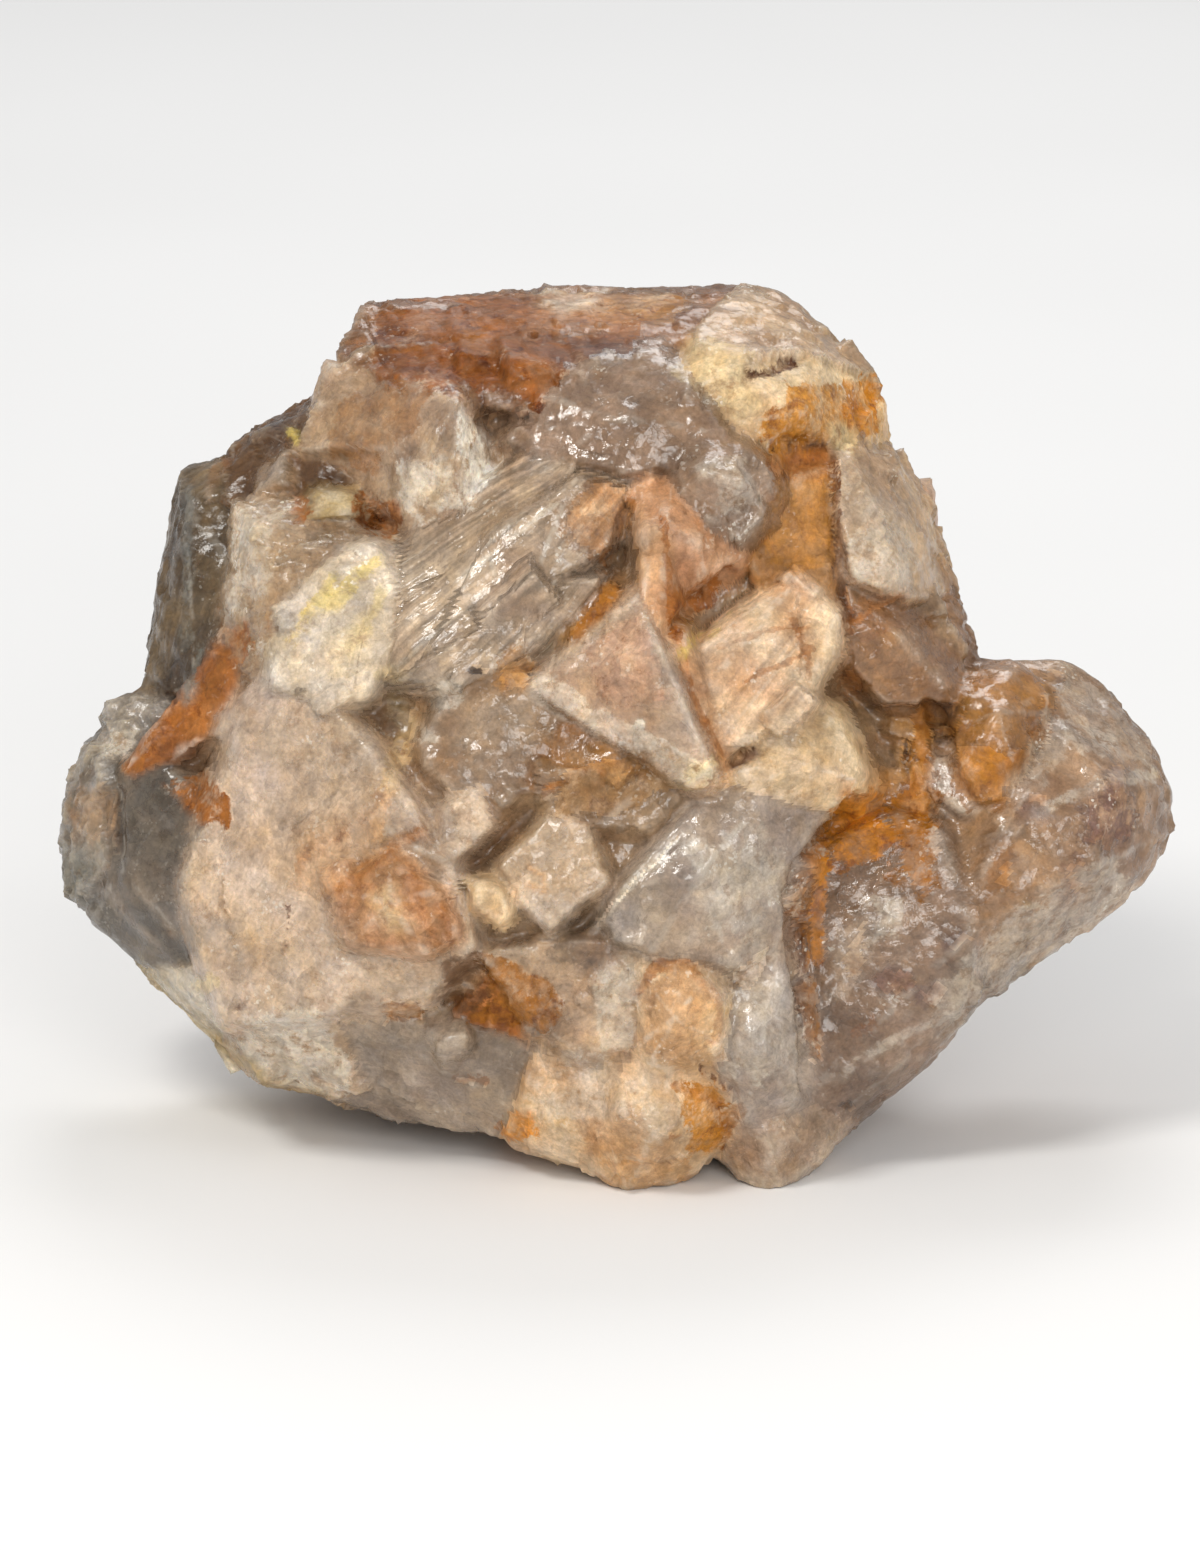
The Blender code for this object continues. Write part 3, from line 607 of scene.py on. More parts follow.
CRACKS = (
    Crack(1.6, 0.9, ((21.5, 32.2), (19.5, 30), (17, 27), (15.9, 24), (16.3, 20), (16.8, 17))),
    Crack(1.2, 0.5, ((16.8, 17), (17.2, 12), (17.4, 8))),
    Crack(0.9, 1.3, ((12.4, 67.6), (14, 68.2), (16.2, 68.7))),
    Crack(1.2, 0.5, ((-9.8, 63.8), (-5.8, 64))),
    Crack(1.6, 0.8, ((6, 46.6), (8.4, 48.8), (11, 51))),
    Crack(1.0, 0.5, ((11, 35.2), (12.8, 36.4))),
    Crack(1.6, 0.9, ((27.4, 39.9), (28.6, 38.4), (28.6, 36.6))),
    Crack(1.0, 0.5, ((25.6, 37.2), (25.6, 34.3))),
    Crack(0.9, 0.5, ((-40.2, 33), (-40.1, 28))),
    Crack(0.8, 0.4, ((8.5, 10), (11, 8))),
    Crack(0.35, 0.3, ((-0.5, 22), (6.5, 29))),
    Crack(0.9, 0.5, ((15.5, 61.9), (19, 61.9))),
)

MARKS = (
    Mark("blue streak on the slab", Stain.BLUE_GREY, 0.5, ((-34.5, 58), (-34.6, 45)), 0.8),
    Mark("slab foot shadow", Stain.DARK, 0.7, ((-38, 40.5), (-35, 44.5), (-33.5, 41), (-34, 40))),
    Mark("yellow spot", Stain.LEMON, 0.8, ((-25.8, 62.6), (-25.2, 62.4)), 1.3),
    Mark("pocket left of the box", Stain.RUST, 0.9, ((-25.6, 55), (-25.6, 57.8), (-24.3, 57.8), (-24.3, 55))),
    Mark("pocket right of the box", Stain.RUST, 0.9, ((-20.4, 55), (-20.4, 57.6), (-19.2, 57.6), (-19.2, 55))),
    Mark("outer pocket", Stain.RUST, 0.85,
         ((-18.8, 53.6), (-18.9, 56.5), (-17.6, 57.8), (-16.7, 56), (-17, 53.8))),
    Mark("frosted edge", Stain.WHITE, 0.6,
         ((-30.2, 57), (-26.5, 57), (-27.5, 53), (-29, 48), (-31.5, 45.8), (-30.8, 50)), soft=1.2),
    Mark("lemon streak, long", Stain.LEMON, 0.65, ((-18.6, 52), (-21, 50), (-24.5, 47.5)), 1.2, 0.8),
    Mark("lemon streak, inner", Stain.LEMON, 0.4, ((-18.2, 49.5), (-20.5, 45.5)), 1.4, 0.8),
    Mark("lemon streak, outer", Stain.LEMON, 0.55, ((-22, 50.8), (-26, 45.5)), 0.9, 0.7),
    Mark("cream of the lemon face", Stain.CREAM, 0.3,
         ((-24, 49), (-20, 48), (-19, 43.5), (-22, 42), (-26, 43.5)), soft=1.2),
    Mark("face glint", Stain.WHITE, 0.8, ((-17.8, 50.8), (-17.5, 50.2)), 0.9),
    Mark("rust band", Stain.RUST, 0.9,
         ((-31.3, 46.9), (-29, 46.7), (-29.2, 44.6), (-31, 41.5), (-34.3, 38.6), (-38.5, 34.4), (-39.8, 35.3),
          (-37, 38), (-34, 41), (-31.8, 44.3))),
    Mark("blue sliver", Stain.BLUE_GREY, 0.7, ((-33.5, 44.5), (-34.3, 40.5)), 0.9),
    Mark("black spot", Stain.DARK, 0.8, ((-25, 41.2), (-24.6, 41.2)), 1.0),
    Mark("white of the lump", Stain.WHITE, 0.65, ((-41.5, 35.8), (-41.2, 38), (-38.8, 38.2), (-39, 36))),
    Mark("pink of the lump", Stain.PEACH, 0.4, ((-44.2, 28), (-44, 33), (-41, 33.2), (-41, 28.2)), soft=1.0),
    Mark("seam between the lumps", Stain.DARK, 0.8, ((-40.2, 33), (-40.1, 28)), 0.7),
    Mark("green foot of the lump", Stain.BLUE_GREY, 0.55,
         ((-45.5, 28.5), (-45, 24), (-42.5, 22.8), (-41.8, 27), (-43, 29)), soft=0.8),
    Mark("slate", Stain.SLATE, 0.5,
         ((-39.5, 33.5), (-37, 34.5), (-33, 30.5), (-34.5, 28), (-34.7, 25), (-33, 20.5), (-35, 18.3),
          (-38, 19.5), (-41.5, 24), (-40.3, 28)), soft=1.0),
    Mark("pale arc on the slate", Stain.PALE, 0.5, ((-41, 25), (-39.5, 22.5), (-37, 20.3)), 0.5),
    Mark("second arc on the slate", Stain.PALE, 0.45, ((-39, 27), (-37.8, 24), (-35.5, 21.2)), 0.5),
    Mark("rust block", Stain.RUST, 1.0,
         ((-35.8, 33.4), (-32.8, 34.9), (-31, 32.7), (-31, 29.1), (-32, 30.8), (-33.8, 30.5)), soft=0.3),
    Mark("pale box", Stain.PALE, 0.6, ((-34.6, 26.5), (-34.3, 28.8), (-31.2, 29), (-31.4, 26.6)), soft=0.3),
    Mark("cream strip", Stain.PALE, 0.5, ((-34.7, 26.6), (-31.6, 26.8), (-30.1, 19.2), (-32.6, 19.6), (-34.1, 24))),
    Mark("dark line by the strip", Stain.SMOKE, 0.7, ((-31.6, 26), (-30.4, 19.6)), 0.35, 0.25),
    Mark("top of the big face", Stain.PALE, 0.5, ((-28, 40), (-20, 41), (-19.5, 35), (-24, 34), (-28, 35)), soft=1.5),
    Mark("heart of the big face", Stain.GREY, 0.5, ((-28, 33), (-20, 33), (-20, 28.5), (-27, 28)), soft=1.8),
    Mark("foot of the big face", Stain.PALE, 0.5, ((-31, 19), (-22, 21), (-15, 18), (-15, 15.5), (-24, 14.3), (-31, 14)), soft=1.2),
    Mark("rust branch", Stain.RUST, 0.55, ((-25, 26.6), (-23.4, 28.2), (-21, 29.6)), 0.9, 0.6),
    Mark("rust blush", Stain.PEACH, 0.5, ((-26, 25), (-24, 30), (-19, 32), (-18, 27), (-23, 24)), soft=1.5),
    Mark("upper dash", Stain.DEEP_RUST, 0.85, ((-26, 23.4), (-26.1, 21.6)), 0.4, 0.25),
    Mark("lower dash", Stain.DEEP_RUST, 0.8, ((-26.2, 20.4), (-26.2, 19.6)), 0.4, 0.25),
    Mark("rust dot", Stain.DEEP_RUST, 0.8, ((-30.1, 15), (-29.8, 15)), 0.6, 0.3),
    # Painted shade over the folds; the lit fold below it is a painted highlight.
    Mark("folds", Stain.SMOKE, 0.5, ((-23, 24), (-20, 27.5), (-15, 30), (-12.5, 27), (-12.5, 20), (-20, 19.8)), soft=1.0),
    Mark("upper fold line", Stain.RUST, 0.65, ((-22.7, 24.3), (-18.5, 27.3), (-15, 29.5)), 0.8),
    Mark("middle fold line", Stain.RUST, 0.65, ((-20.2, 25.2), (-16.5, 24), (-13.6, 20.4)), 0.6),
    Mark("inner fold line", Stain.RUST, 0.6, ((-16, 27), (-14.5, 22.5)), 1.0),
    Mark("outer fold line", Stain.RUST, 0.7, ((-13.3, 23.5), (-12.3, 20.4)), 0.8),
    Mark("lit fold", Stain.CREAM, 0.4, ((-19.2, 24.4), (-17.4, 25.4), (-15.2, 21.5), (-17.4, 20.6))),
    Mark("dotted vein", Stain.PEACH, 0.6, ((-19, 28), (-17.5, 33), (-16.5, 37), (-15.3, 40.5)), 1.6, 0.8),
    Mark("cream beside the vein", Stain.CREAM, 0.5, ((-17.3, 33.5), (-16.3, 39), (-17.5, 43)), 1.6, 0.9),
    Mark("olive border", Stain.OLIVE, 0.7,
         ((-38.8, 19.8), (-35, 15.5), (-30, 11.5), (-27, 9.5), (-23, 8.8), (-23, 7.2), (-28, 7.8), (-33.4, 12.4),
          (-38.4, 17.6)), soft=0.8),
    Mark("cream spot", Stain.CREAM, 0.8, ((-33.4, 17), (-32.6, 17)), 1.4),
    Mark("lens", Stain.WHITE, 0.75, ((-29, 13.8), (-24, 14.8), (-22.5, 13.5), (-20.5, 10), (-21, 7.5), (-27, 8.5), (-30, 11.5))),
    Mark("brown spots", Stain.RUST, 0.6, ((-12, 8.9), (-9.5, 8.6)), 0.9),
    Mark("amber square", Stain.AMBER, 0.85, ((-18, 13.7), (-18, 15.5), (-14.6, 15.5), (-14.6, 13.7)), soft=0.25),
    # Painted shade in the recess.
    Mark("dark recess", Stain.SMOKY_BROWN, 0.85, ((-14.5, 15), (-13, 19), (-10.5, 19.8), (-9, 17), (-9.5, 15)), soft=0.9),
    Mark("rusty plate", Stain.AMBER, 0.9,
         ((-9.7, 19.6), (-4.3, 17.4), (-3.1, 15.5), (-3.7, 14), (-5, 12.6), (-6, 13.3), (-11, 14), (-9, 16))),
    Mark("brown of the top", Stain.UMBER, 0.85,
         ((-19, 67.5), (-18, 73), (-6, 74.8), (-3, 71), (-8, 66.5), (-13, 65.8)), soft=1.0),
    Mark("brown band of the top", Stain.SMOKE, 0.6, ((-8, 75), (8, 75.4), (7, 72.6), (2, 70.8), (-6, 70.6)), soft=1.2),
    Mark("long dash in the top", Stain.DEEP_RUST, 0.75, ((-5, 70.6), (-2, 69.6), (0.5, 70.6)), 1.6, 0.5),
    Mark("dark patch in the top", Stain.DEEP_RUST, 0.8, ((0.2, 70.4), (1.4, 72.4), (3.6, 72.6), (3.4, 70.8), (1.8, 69.2)), soft=0.5),
    Mark("left patch in the top", Stain.DEEP_RUST, 0.5, ((-18.8, 70.6), (-17.6, 72), (-15.6, 71.6), (-16, 69), (-18.2, 68.6)), soft=0.6),
    Mark("rear patch in the top", Stain.DEEP_RUST, 0.75, ((-9.4, 72.8), (-8, 74.4), (-6, 74.2), (-5.4, 72.6), (-7.4, 71.6)), soft=0.5),
    Mark("pale dash in the top", Stain.PALE, 0.6, ((-16.5, 70.4), (-13.8, 72)), 0.7, 0.4),
    Mark("white dash in the top", Stain.WHITE, 0.5, ((2.5, 73.6), (5.5, 74)), 0.9, 0.5),
    Mark("pale band in the top", Stain.WHITE, 0.6, ((-5.2, 74.6), (-3, 72.6), (0.6, 73), (0.8, 74.8)), soft=0.7),
    Mark("plum patch in the top", Stain.PLUM, 0.6, ((-15.2, 71.2), (-14, 72.8), (-11.4, 72.6), (-12, 71)), soft=0.6),
    Mark("ochre patch in the top", Stain.OCHRE, 0.7, ((-12, 69.2), (-11.4, 71), (-9, 70.8), (-9.4, 68.6)), soft=0.6),
    Mark("ochre in the top", Stain.OCHRE, 0.55, ((-2, 73), (3, 74.4), (7, 74), (6, 71.8), (1, 72)), soft=0.8),
    Mark("rust on the top", Stain.RUST, 0.5,
         ((-17.5, 73), (-8, 73.8), (3, 72.8), (6, 70), (0, 71), (-8, 70.2), (-16, 70.8)), soft=1.0),
    Mark("amber pocket", Stain.UMBER, 1.0,
         ((-16.5, 67.3), (-9, 66.3), (-5, 64.8), (-3, 68), (-4, 70), (-8, 70.7), (-16, 70)), soft=0.8),
    Mark("deep pocket", Stain.RUST, 0.95, ((-7.8, 66.7), (-4.6, 66.6), (-3.8, 69), (-6, 69.4))),
    Mark("holes in the top", Stain.DEEP_RUST, 0.9, ((-4.2, 69.5), (-2, 68.8), (0, 70)), 0.9, 0.3),
    # Painted shade in the slot under the brow.
    Mark("slot under the brow", Stain.DARK, 0.95, ((-9.8, 63.8), (-5.8, 64)), 0.55, 0.2),
    Mark("brown of the shoulder", Stain.AMBER, 0.45,
         ((-22.5, 61), (-21, 66), (-17, 67), (-14, 65.5), (-16, 62), (-19, 60)), soft=1.2),
    Mark("rusty brow", Stain.RUST, 0.8, ((-14, 66.8), (-12.5, 66.2), (-10.5, 64), (-9, 62)), 0.55, 0.3),
    Mark("cream triangle", Stain.BRIGHT, 1.0, ((-12, 65.2), (-9, 62), (-8, 60), (-11, 56.4), (-11.6, 60))),
    Mark("sparkling shoulder", Stain.WHITE, 0.75, ((-17, 61), (-12, 60), (-11, 57), (-15, 55.5), (-17.5, 58)), soft=1.2),
    Mark("veil on the knob", Stain.WHITE, 0.5, ((8.5, 60.5), (12, 61), (13, 57), (10, 55.5)), soft=1.2),
    Mark("grey window in the cap", Stain.GREY, 0.6, ((8, 65.2), (8.3, 67.6), (11.3, 67.4), (11.1, 65.1)), soft=0.25),
    Mark("cream of the cap", Stain.CREAM, 0.6, ((11.5, 64), (6, 68), (8, 71), (12, 70), (13.5, 66)), soft=0.8),
    Mark("hole in the cap", Stain.DEEP_RUST, 0.95, ((12.2, 67.9), (12.6, 67), (16.7, 68.3), (16, 69.2)), soft=0.3),
    Mark("ochre of the cap", Stain.OCHRE, 0.9,
         ((13.4, 61.6), (14, 64.8), (16.5, 67), (19.6, 67.4), (23.4, 67.6), (23.2, 63.2), (19, 61.8)), soft=1.0),
    Mark("orange of the cap", Stain.ORANGE, 0.75, ((19.4, 64.6), (20.6, 67.6), (23, 67.4), (23.4, 64.6), (21, 63.4)), soft=1.0),
    Mark("cream foot of the cap", Stain.CREAM, 0.8, ((19, 61), (19, 63.6), (21.4, 63.6), (21.6, 61)), soft=0.4),
    # Painted shadow in the gap under the cap.
    Mark("line under the cap", Stain.DARK, 0.85, ((15.5, 61.9), (19, 61.9)), 0.5, 0.2),
    Mark("rust under the cap", Stain.RUST, 0.65, ((14.2, 58.8), (14.4, 61.6), (19.1, 61.6), (19.1, 59)), soft=0.6),
    Mark("amber of the slab", Stain.AMBER, 0.65,
         ((-3.6, 56.5), (-1, 58.7), (2, 58.4), (3.2, 57), (1.6, 53.5), (0.5, 50.8), (-2.5, 54)), soft=0.8),
    Mark("amber wedge", Stain.AMBER, 0.85, ((-3.2, 46), (0.4, 50.2), (2.2, 50.2), (-1.4, 45.3))),
    Mark("ochre spot", Stain.OCHRE, 0.6, ((-9.5, 43.6), (-6, 45.2), (-5.4, 43), (-7, 41), (-9.5, 41.5)), soft=0.8),
    Mark("black speck", Stain.DARK, 0.95, ((-10.7, 43), (-10.3, 43)), 0.8, 0.3),
    # Painted highlights: the two sparkles, the two bright streaks along the striations, and the upright glint below.
    Mark("sparkle", Stain.WHITE, 0.75, ((-13.4, 41), (-12.6, 41)), 2.2, 0.9),
    Mark("lower sparkle", Stain.WHITE, 0.6, ((-14.8, 37.5), (-14.2, 37.5)), 1.4, 0.7),
    Mark("long bright streak", Stain.WHITE, 0.7, ((-12, 50.5), (-3.5, 57)), 0.45, 0.3),
    Mark("low bright streak", Stain.WHITE, 0.6, ((-17, 43.5), (-10.5, 48.5)), 0.5, 0.3),
    Mark("smoky heart of the slab", Stain.SMOKE, 0.35, ((-13, 45), (-9, 51), (-3, 54), (-1, 51), (-7, 44.5)), soft=2.0),
    Mark("upright glint", Stain.WHITE, 0.7, ((-9, 52.4), (-9, 50.6)), 0.35, 0.2),
    Mark("lower rim of the window", Stain.WHITE, 0.55, ((-5.2, 41.6), (9, 34)), 2.2, 0.5),
    Mark("upper rim of the window", Stain.PALE, 0.6, ((-5.6, 42), (2.6, 49)), 0.9, 0.4),
    Mark("heart of the window", Stain.PINK, 0.85, ((-1.6, 44.4), (3, 47.8), (5.5, 40.4), (1, 39.6)), soft=0.4),
    Mark("glint of the window", Stain.WHITE, 0.9, ((3.1, 38.6), (3.5, 38.6)), 0.7, 0.3),
    Mark("rusty edge of the blade", Stain.RUST, 0.75, ((5.4, 55.5), (5.7, 50), (7, 43), (10, 35.5)), 0.7, 0.3),
    Mark("knob of the blade", Stain.CREAM, 0.8, ((7, 33), (7, 35.6), (9.6, 35.6), (9.6, 33)), soft=0.4),
    Mark("deep cleft", Stain.RUST, 0.95, ((5.8, 49.2), (11.3, 52.2), (9.2, 48.6), (5.8, 45.4)), soft=0.5),
    Mark("lemon blade", Stain.LEMON, 0.8, ((6.7, 44.7), (8.6, 45.8), (11, 47.8)), 0.9, 0.4),
    Mark("upper fan thread", Stain.RUST, 0.5, ((10, 45), (14, 46.4), (17.4, 46.6)), 0.45, 0.3),
    Mark("lower fan thread", Stain.RUST, 0.5, ((12, 42), (15, 43.6), (17.6, 45)), 0.45, 0.3),
    Mark("cross fan thread", Stain.RUST, 0.5, ((16, 47.4), (17, 45), (17.6, 41.8)), 0.6, 0.4),
    Mark("slot in the fan", Stain.DEEP_RUST, 0.9, ((11, 35.2), (12.8, 36.4)), 0.8, 0.3),
    Mark("cream shell", Stain.PALE, 0.55,
         ((11, 34), (12.5, 36.2), (16, 38), (17, 35.2), (21.8, 34), (20, 32), (12.5, 31.8)), soft=0.5),
    Mark("amber ledge", Stain.SMOKE, 0.45, ((-4, 40.4), (0.8, 36.8), (-5, 32.8), (-8, 33)), soft=0.8),
    Mark("rusty sliver", Stain.RUST, 0.8, ((-4.8, 33), (0.5, 35.5), (4, 34.6)), 0.7, 0.4),
    Mark("brown clear zone", Stain.SMOKE, 0.8, ((-4, 31), (-4, 34.8), (4, 36.4), (6, 33), (3, 31)), soft=1.0),
    Mark("grey clear zone", Stain.GREY, 0.5, ((-12, 33), (-11, 40), (-6, 42), (-5, 36), (-8, 32.5)), soft=1.2),
    Mark("pinkish facet", Stain.PALE, 0.7, ((-13.5, 33.6), (-10, 33.1), (-9, 29.7), (-11.5, 27.2), (-12.6, 30)), soft=0.3),
    Mark("pale square", Stain.PALE, 0.4, ((-8.3, 27.2), (-5, 30.4), (-1.5, 30.2), (0.8, 28), (0.5, 26), (-4.3, 21.8))),
    Mark("peach loop", Stain.PEACH, 0.85, ((-5.8, 26.6), (-4.5, 26), (-4.6, 24.7), (-5.9, 25.2)), 0.5, 0.3),
    Mark("cream nub", Stain.GREY, 0.4, ((-10.4, 23.6), (-9, 25.6), (-7.2, 24.4), (-8.2, 22))),
    Mark("smoky spot", Stain.DARK, 0.5, ((-4, 19.2), (-3.4, 22.6), (1.4, 23), (2.2, 19.8), (-1, 18.4)), soft=1.0),
    # Painted highlight along the groove.
    Mark("white groove", Stain.WHITE, 0.85, ((-0.5, 22), (6.5, 29)), 0.5, 0.3),
    Mark("veil of the milky face", Stain.WHITE, 0.5, ((7, 29), (13, 30), (16, 26), (13, 21.5), (9, 22)), soft=2.0),
    Mark("cream corner", Stain.PALE, 0.7, ((10.4, 17.5), (14.3, 20.5), (13.6, 17), (12.3, 16.2)), soft=0.4),
    Mark("rust in the slab cleft", Stain.DEEP_RUST, 0.8, ((19.4, 61), (19.7, 56), (20.2, 50), (20.6, 46)), 0.8, 0.5),
    Mark("ochre of the panel", Stain.OCHRE, 0.5, ((14.6, 58.8), (18.8, 59), (19.3, 52), (16, 51), (14, 53)), soft=1.0),
    Mark("veil of the right slab", Stain.WHITE, 0.45, ((20.6, 50.4), (20.6, 55), (26, 55.5), (26.5, 50.4)), soft=1.2),
    Mark("rust fan", Stain.RUST, 0.45, ((20.7, 45.8), (21, 49.6), (25.6, 49.4), (25, 46.2)), soft=0.9),
    Mark("rust fan ray", Stain.RUST, 0.7, ((20.6, 46.8), (23, 48.2), (25.6, 49.2)), 0.8, 0.4),
    Mark("brown diamond", Stain.RUST, 0.6, ((19.5, 42), (21, 43.9), (22.8, 42), (21, 40.2))),
    Mark("ledge shadow", Stain.DARK, 0.6, ((22.6, 40), (30.4, 40.2)), 0.6, 0.4),
    # Painted shade in the triangular hole and the slit.
    Mark("triangular hole", Stain.DARK, 0.9, ((26.9, 40.1), (30.6, 40.2), (28.5, 35.9)), soft=0.4),
    Mark("slit", Stain.DARK, 0.9, ((25.6, 37.2), (25.6, 34.3)), 0.5, 0.25),
    Mark("amber knob", Stain.AMBER, 0.8, ((26.7, 39.6), (26.9, 36.2)), 1.5, 0.4),
    Mark("amber facets", Stain.AMBER, 0.6, ((25, 31), (25, 36), (28, 36), (28.4, 31)), soft=0.8),
    Mark("brown wedge", Stain.SMOKE, 0.75, ((38, 42.6), (37, 38.5), (34.6, 33.8)), 1.5, 0.5),
    Mark("foot of the honey", Stain.AMBER, 0.7, ((28.5, 34.5), (30, 37), (35.5, 36), (35, 33), (31, 31)), soft=1.2),
    Mark("honey", Stain.OCHRE, 0.4, ((29, 38.5), (31, 41), (34.2, 43.2), (36.8, 41), (34, 36), (32, 33.5), (30, 35.5)), soft=0.8),
    Mark("white of the right crystal", Stain.WHITE, 0.4, ((38.5, 43.8), (41.5, 41.5), (46.8, 36), (43, 34.8), (39, 38)), soft=1.5),
    Mark("pale foot of the right crystal", Stain.WHITE, 0.55, ((30, 15), (34, 18.6), (38, 21.6), (42, 25)), 5.0, 1.6),
    Mark("white vein of the right crystal", Stain.WHITE, 0.7, ((36.4, 31), (40, 33), (46, 34.4)), 1.2, 0.6),
    Mark("white shoulder of the right crystal", Stain.WHITE, 0.4, ((35.6, 33), (37.5, 38), (42, 37)), 2.4, 1.0),
    Mark("amber flake", Stain.AMBER, 0.6, ((31.5, 23.6), (33.5, 28), (35, 29.4), (34.4, 25)), soft=0.7),
    Mark("umber flake", Stain.UMBER, 0.65, ((38, 23.6), (39, 27), (40.6, 28), (40, 24.4)), soft=0.7),
    Mark("small umber flake", Stain.UMBER, 0.6, ((35, 31.4), (35.4, 33.4), (37.4, 33), (37, 31)), soft=0.6),
    Mark("plum inclusions", Stain.PLUM, 0.9, ((40.3, 28.4), (40.8, 33.6), (43.8, 34.4), (45.2, 30.6), (43, 28)), soft=1.6),
    Mark("smaller plum inclusions", Stain.PLUM, 0.5, ((35, 31), (38.5, 30.2)), 1.6, 1.0),
    Mark("pale side of the cleft", Stain.PALE, 0.55, ((19.4, 16), (19.6, 23), (22.4, 24), (23, 17)), soft=1.6),
    Mark("cleft", Stain.DEEP_RUST, 0.85,
         ((21.5, 32.2), (19.5, 30), (17, 27), (15.9, 24), (16.3, 20), (16.8, 17), (17.1, 12)), 1.1, 0.4),
    Mark("orange lining", Stain.ORANGE, 0.7, ((18.4, 26.5), (17.7, 22), (18, 19)), 1.5, 0.6),
    Mark("amber lining", Stain.AMBER, 0.7, ((17.7, 17), (17.8, 11)), 1.0, 0.5),
    Mark("orange zone", Stain.ORANGE, 0.85, ((18.6, 26), (20, 33), (24, 33.4), (24.6, 29), (21, 25.5)), soft=1.8),
    Mark("olive zone", Stain.AMBER, 1.0, ((24.5, 26), (24, 33.5), (28, 33.5), (27.4, 25)), soft=2.0),
    Mark("cream cube", Stain.WHITE, 0.6, ((22.6, 21), (22.6, 23.6), (25, 24), (25.2, 21.2)), soft=1.0),
    Mark("dark speck, big", Stain.PLUM, 0.75, ((23.8, 17), (25.6, 17)), 2.2, 1.0),
    Mark("dark speck, second", Stain.PLUM, 0.7, ((27.2, 16), (28.3, 16.6)), 1.6, 0.9),
    Mark("dark speck, third", Stain.PLUM, 0.65, ((29.4, 20.2), (30.2, 20.8)), 1.3, 0.7),
    Mark("dark speck, low", Stain.DARK, 0.7, ((20.3, 7), (20.7, 7)), 0.9, 0.5),
    Mark("dark speck, inner", Stain.DARK, 0.7, ((16.9, 10.5), (17.1, 10.5)), 0.8, 0.4),
    Mark("rust spots", Stain.RUST, 0.55, ((21, 12.6), (22.6, 15), (23.4, 13.4), (21.6, 12)), soft=0.7),
    Mark("pale ridge", Stain.WHITE, 0.5, ((20.5, 9.6), (25, 12.6), (29, 14.2)), 0.8, 0.4),
    Mark("dome", Stain.WHITE, 0.15, ((3.1, 7.6), (3.9, 7.4)), 3.2, 1.6),
    Mark("cream of the knob", Stain.WHITE, 0.35, ((-6.5, 7), (-3, 11.5), (1, 11), (0.5, 6), (-4, 5)), soft=1.0),
    Mark("yellow corner", Stain.ORANGE, 0.85, ((-8.3, 4), (-7.6, 6.8), (-5.6, 6.4), (-4.6, 3.6)), soft=0.6),
    Mark("rusty side of the knob", Stain.OCHRE, 0.9, ((7, 2.6), (6.8, 9), (10.4, 8.4), (10.4, 3.4)), soft=0.8),
    Mark("rusty line on the knob", Stain.RUST, 0.7, ((6.4, 8.6), (9.6, 7), (10.6, 5)), 0.9, 0.5),
    Mark("peach of the knob", Stain.PEACH, 0.7, ((-2, 2.4), (-1, 5.6), (3.4, 6), (3.6, 2.6)), soft=0.9),
    Mark("ochre foot of the knob", Stain.OCHRE, 0.35, ((-0.5, -0.4), (0, 2), (7, 2), (7.6, 0)), soft=0.6),
    Mark("rust round the peach block", Stain.RUST, 0.65, ((3, 16.5), (5, 18.6), (7.6, 18.2), (10, 15.8), (9.6, 12.4)), 0.8, 0.5),
    Mark("peach of the block", Stain.PEACH, 0.5, ((3.4, 11), (3.6, 17), (7, 18), (9.6, 15.6), (9, 11.4)), soft=0.6),
    Mark("pale block", Stain.WHITE, 0.5, ((-0.4, 11.6), (0, 19), (3, 19), (3, 11.6)), soft=0.5),
    Mark("light of the clear block", Stain.WHITE, 0.35, ((10, 9), (10.4, 20), (15, 20.6), (16, 10)), soft=1.2),
    Mark("silver line", Stain.WHITE, 0.8, ((11, 9.5), (14.2, 9.2)), 0.35, 0.2),
    Mark("second silver line", Stain.WHITE, 0.75, ((11, 8.7), (14, 8.4)), 0.35, 0.2),
    Mark("slit by the knob", Stain.DEEP_RUST, 0.8, ((8.5, 10), (11, 8)), 0.6, 0.3),
    Mark("amber strip", Stain.AMBER, 0.6, ((9.8, 6.6), (12.6, 7), (10, 2.8)), soft=0.5),
)




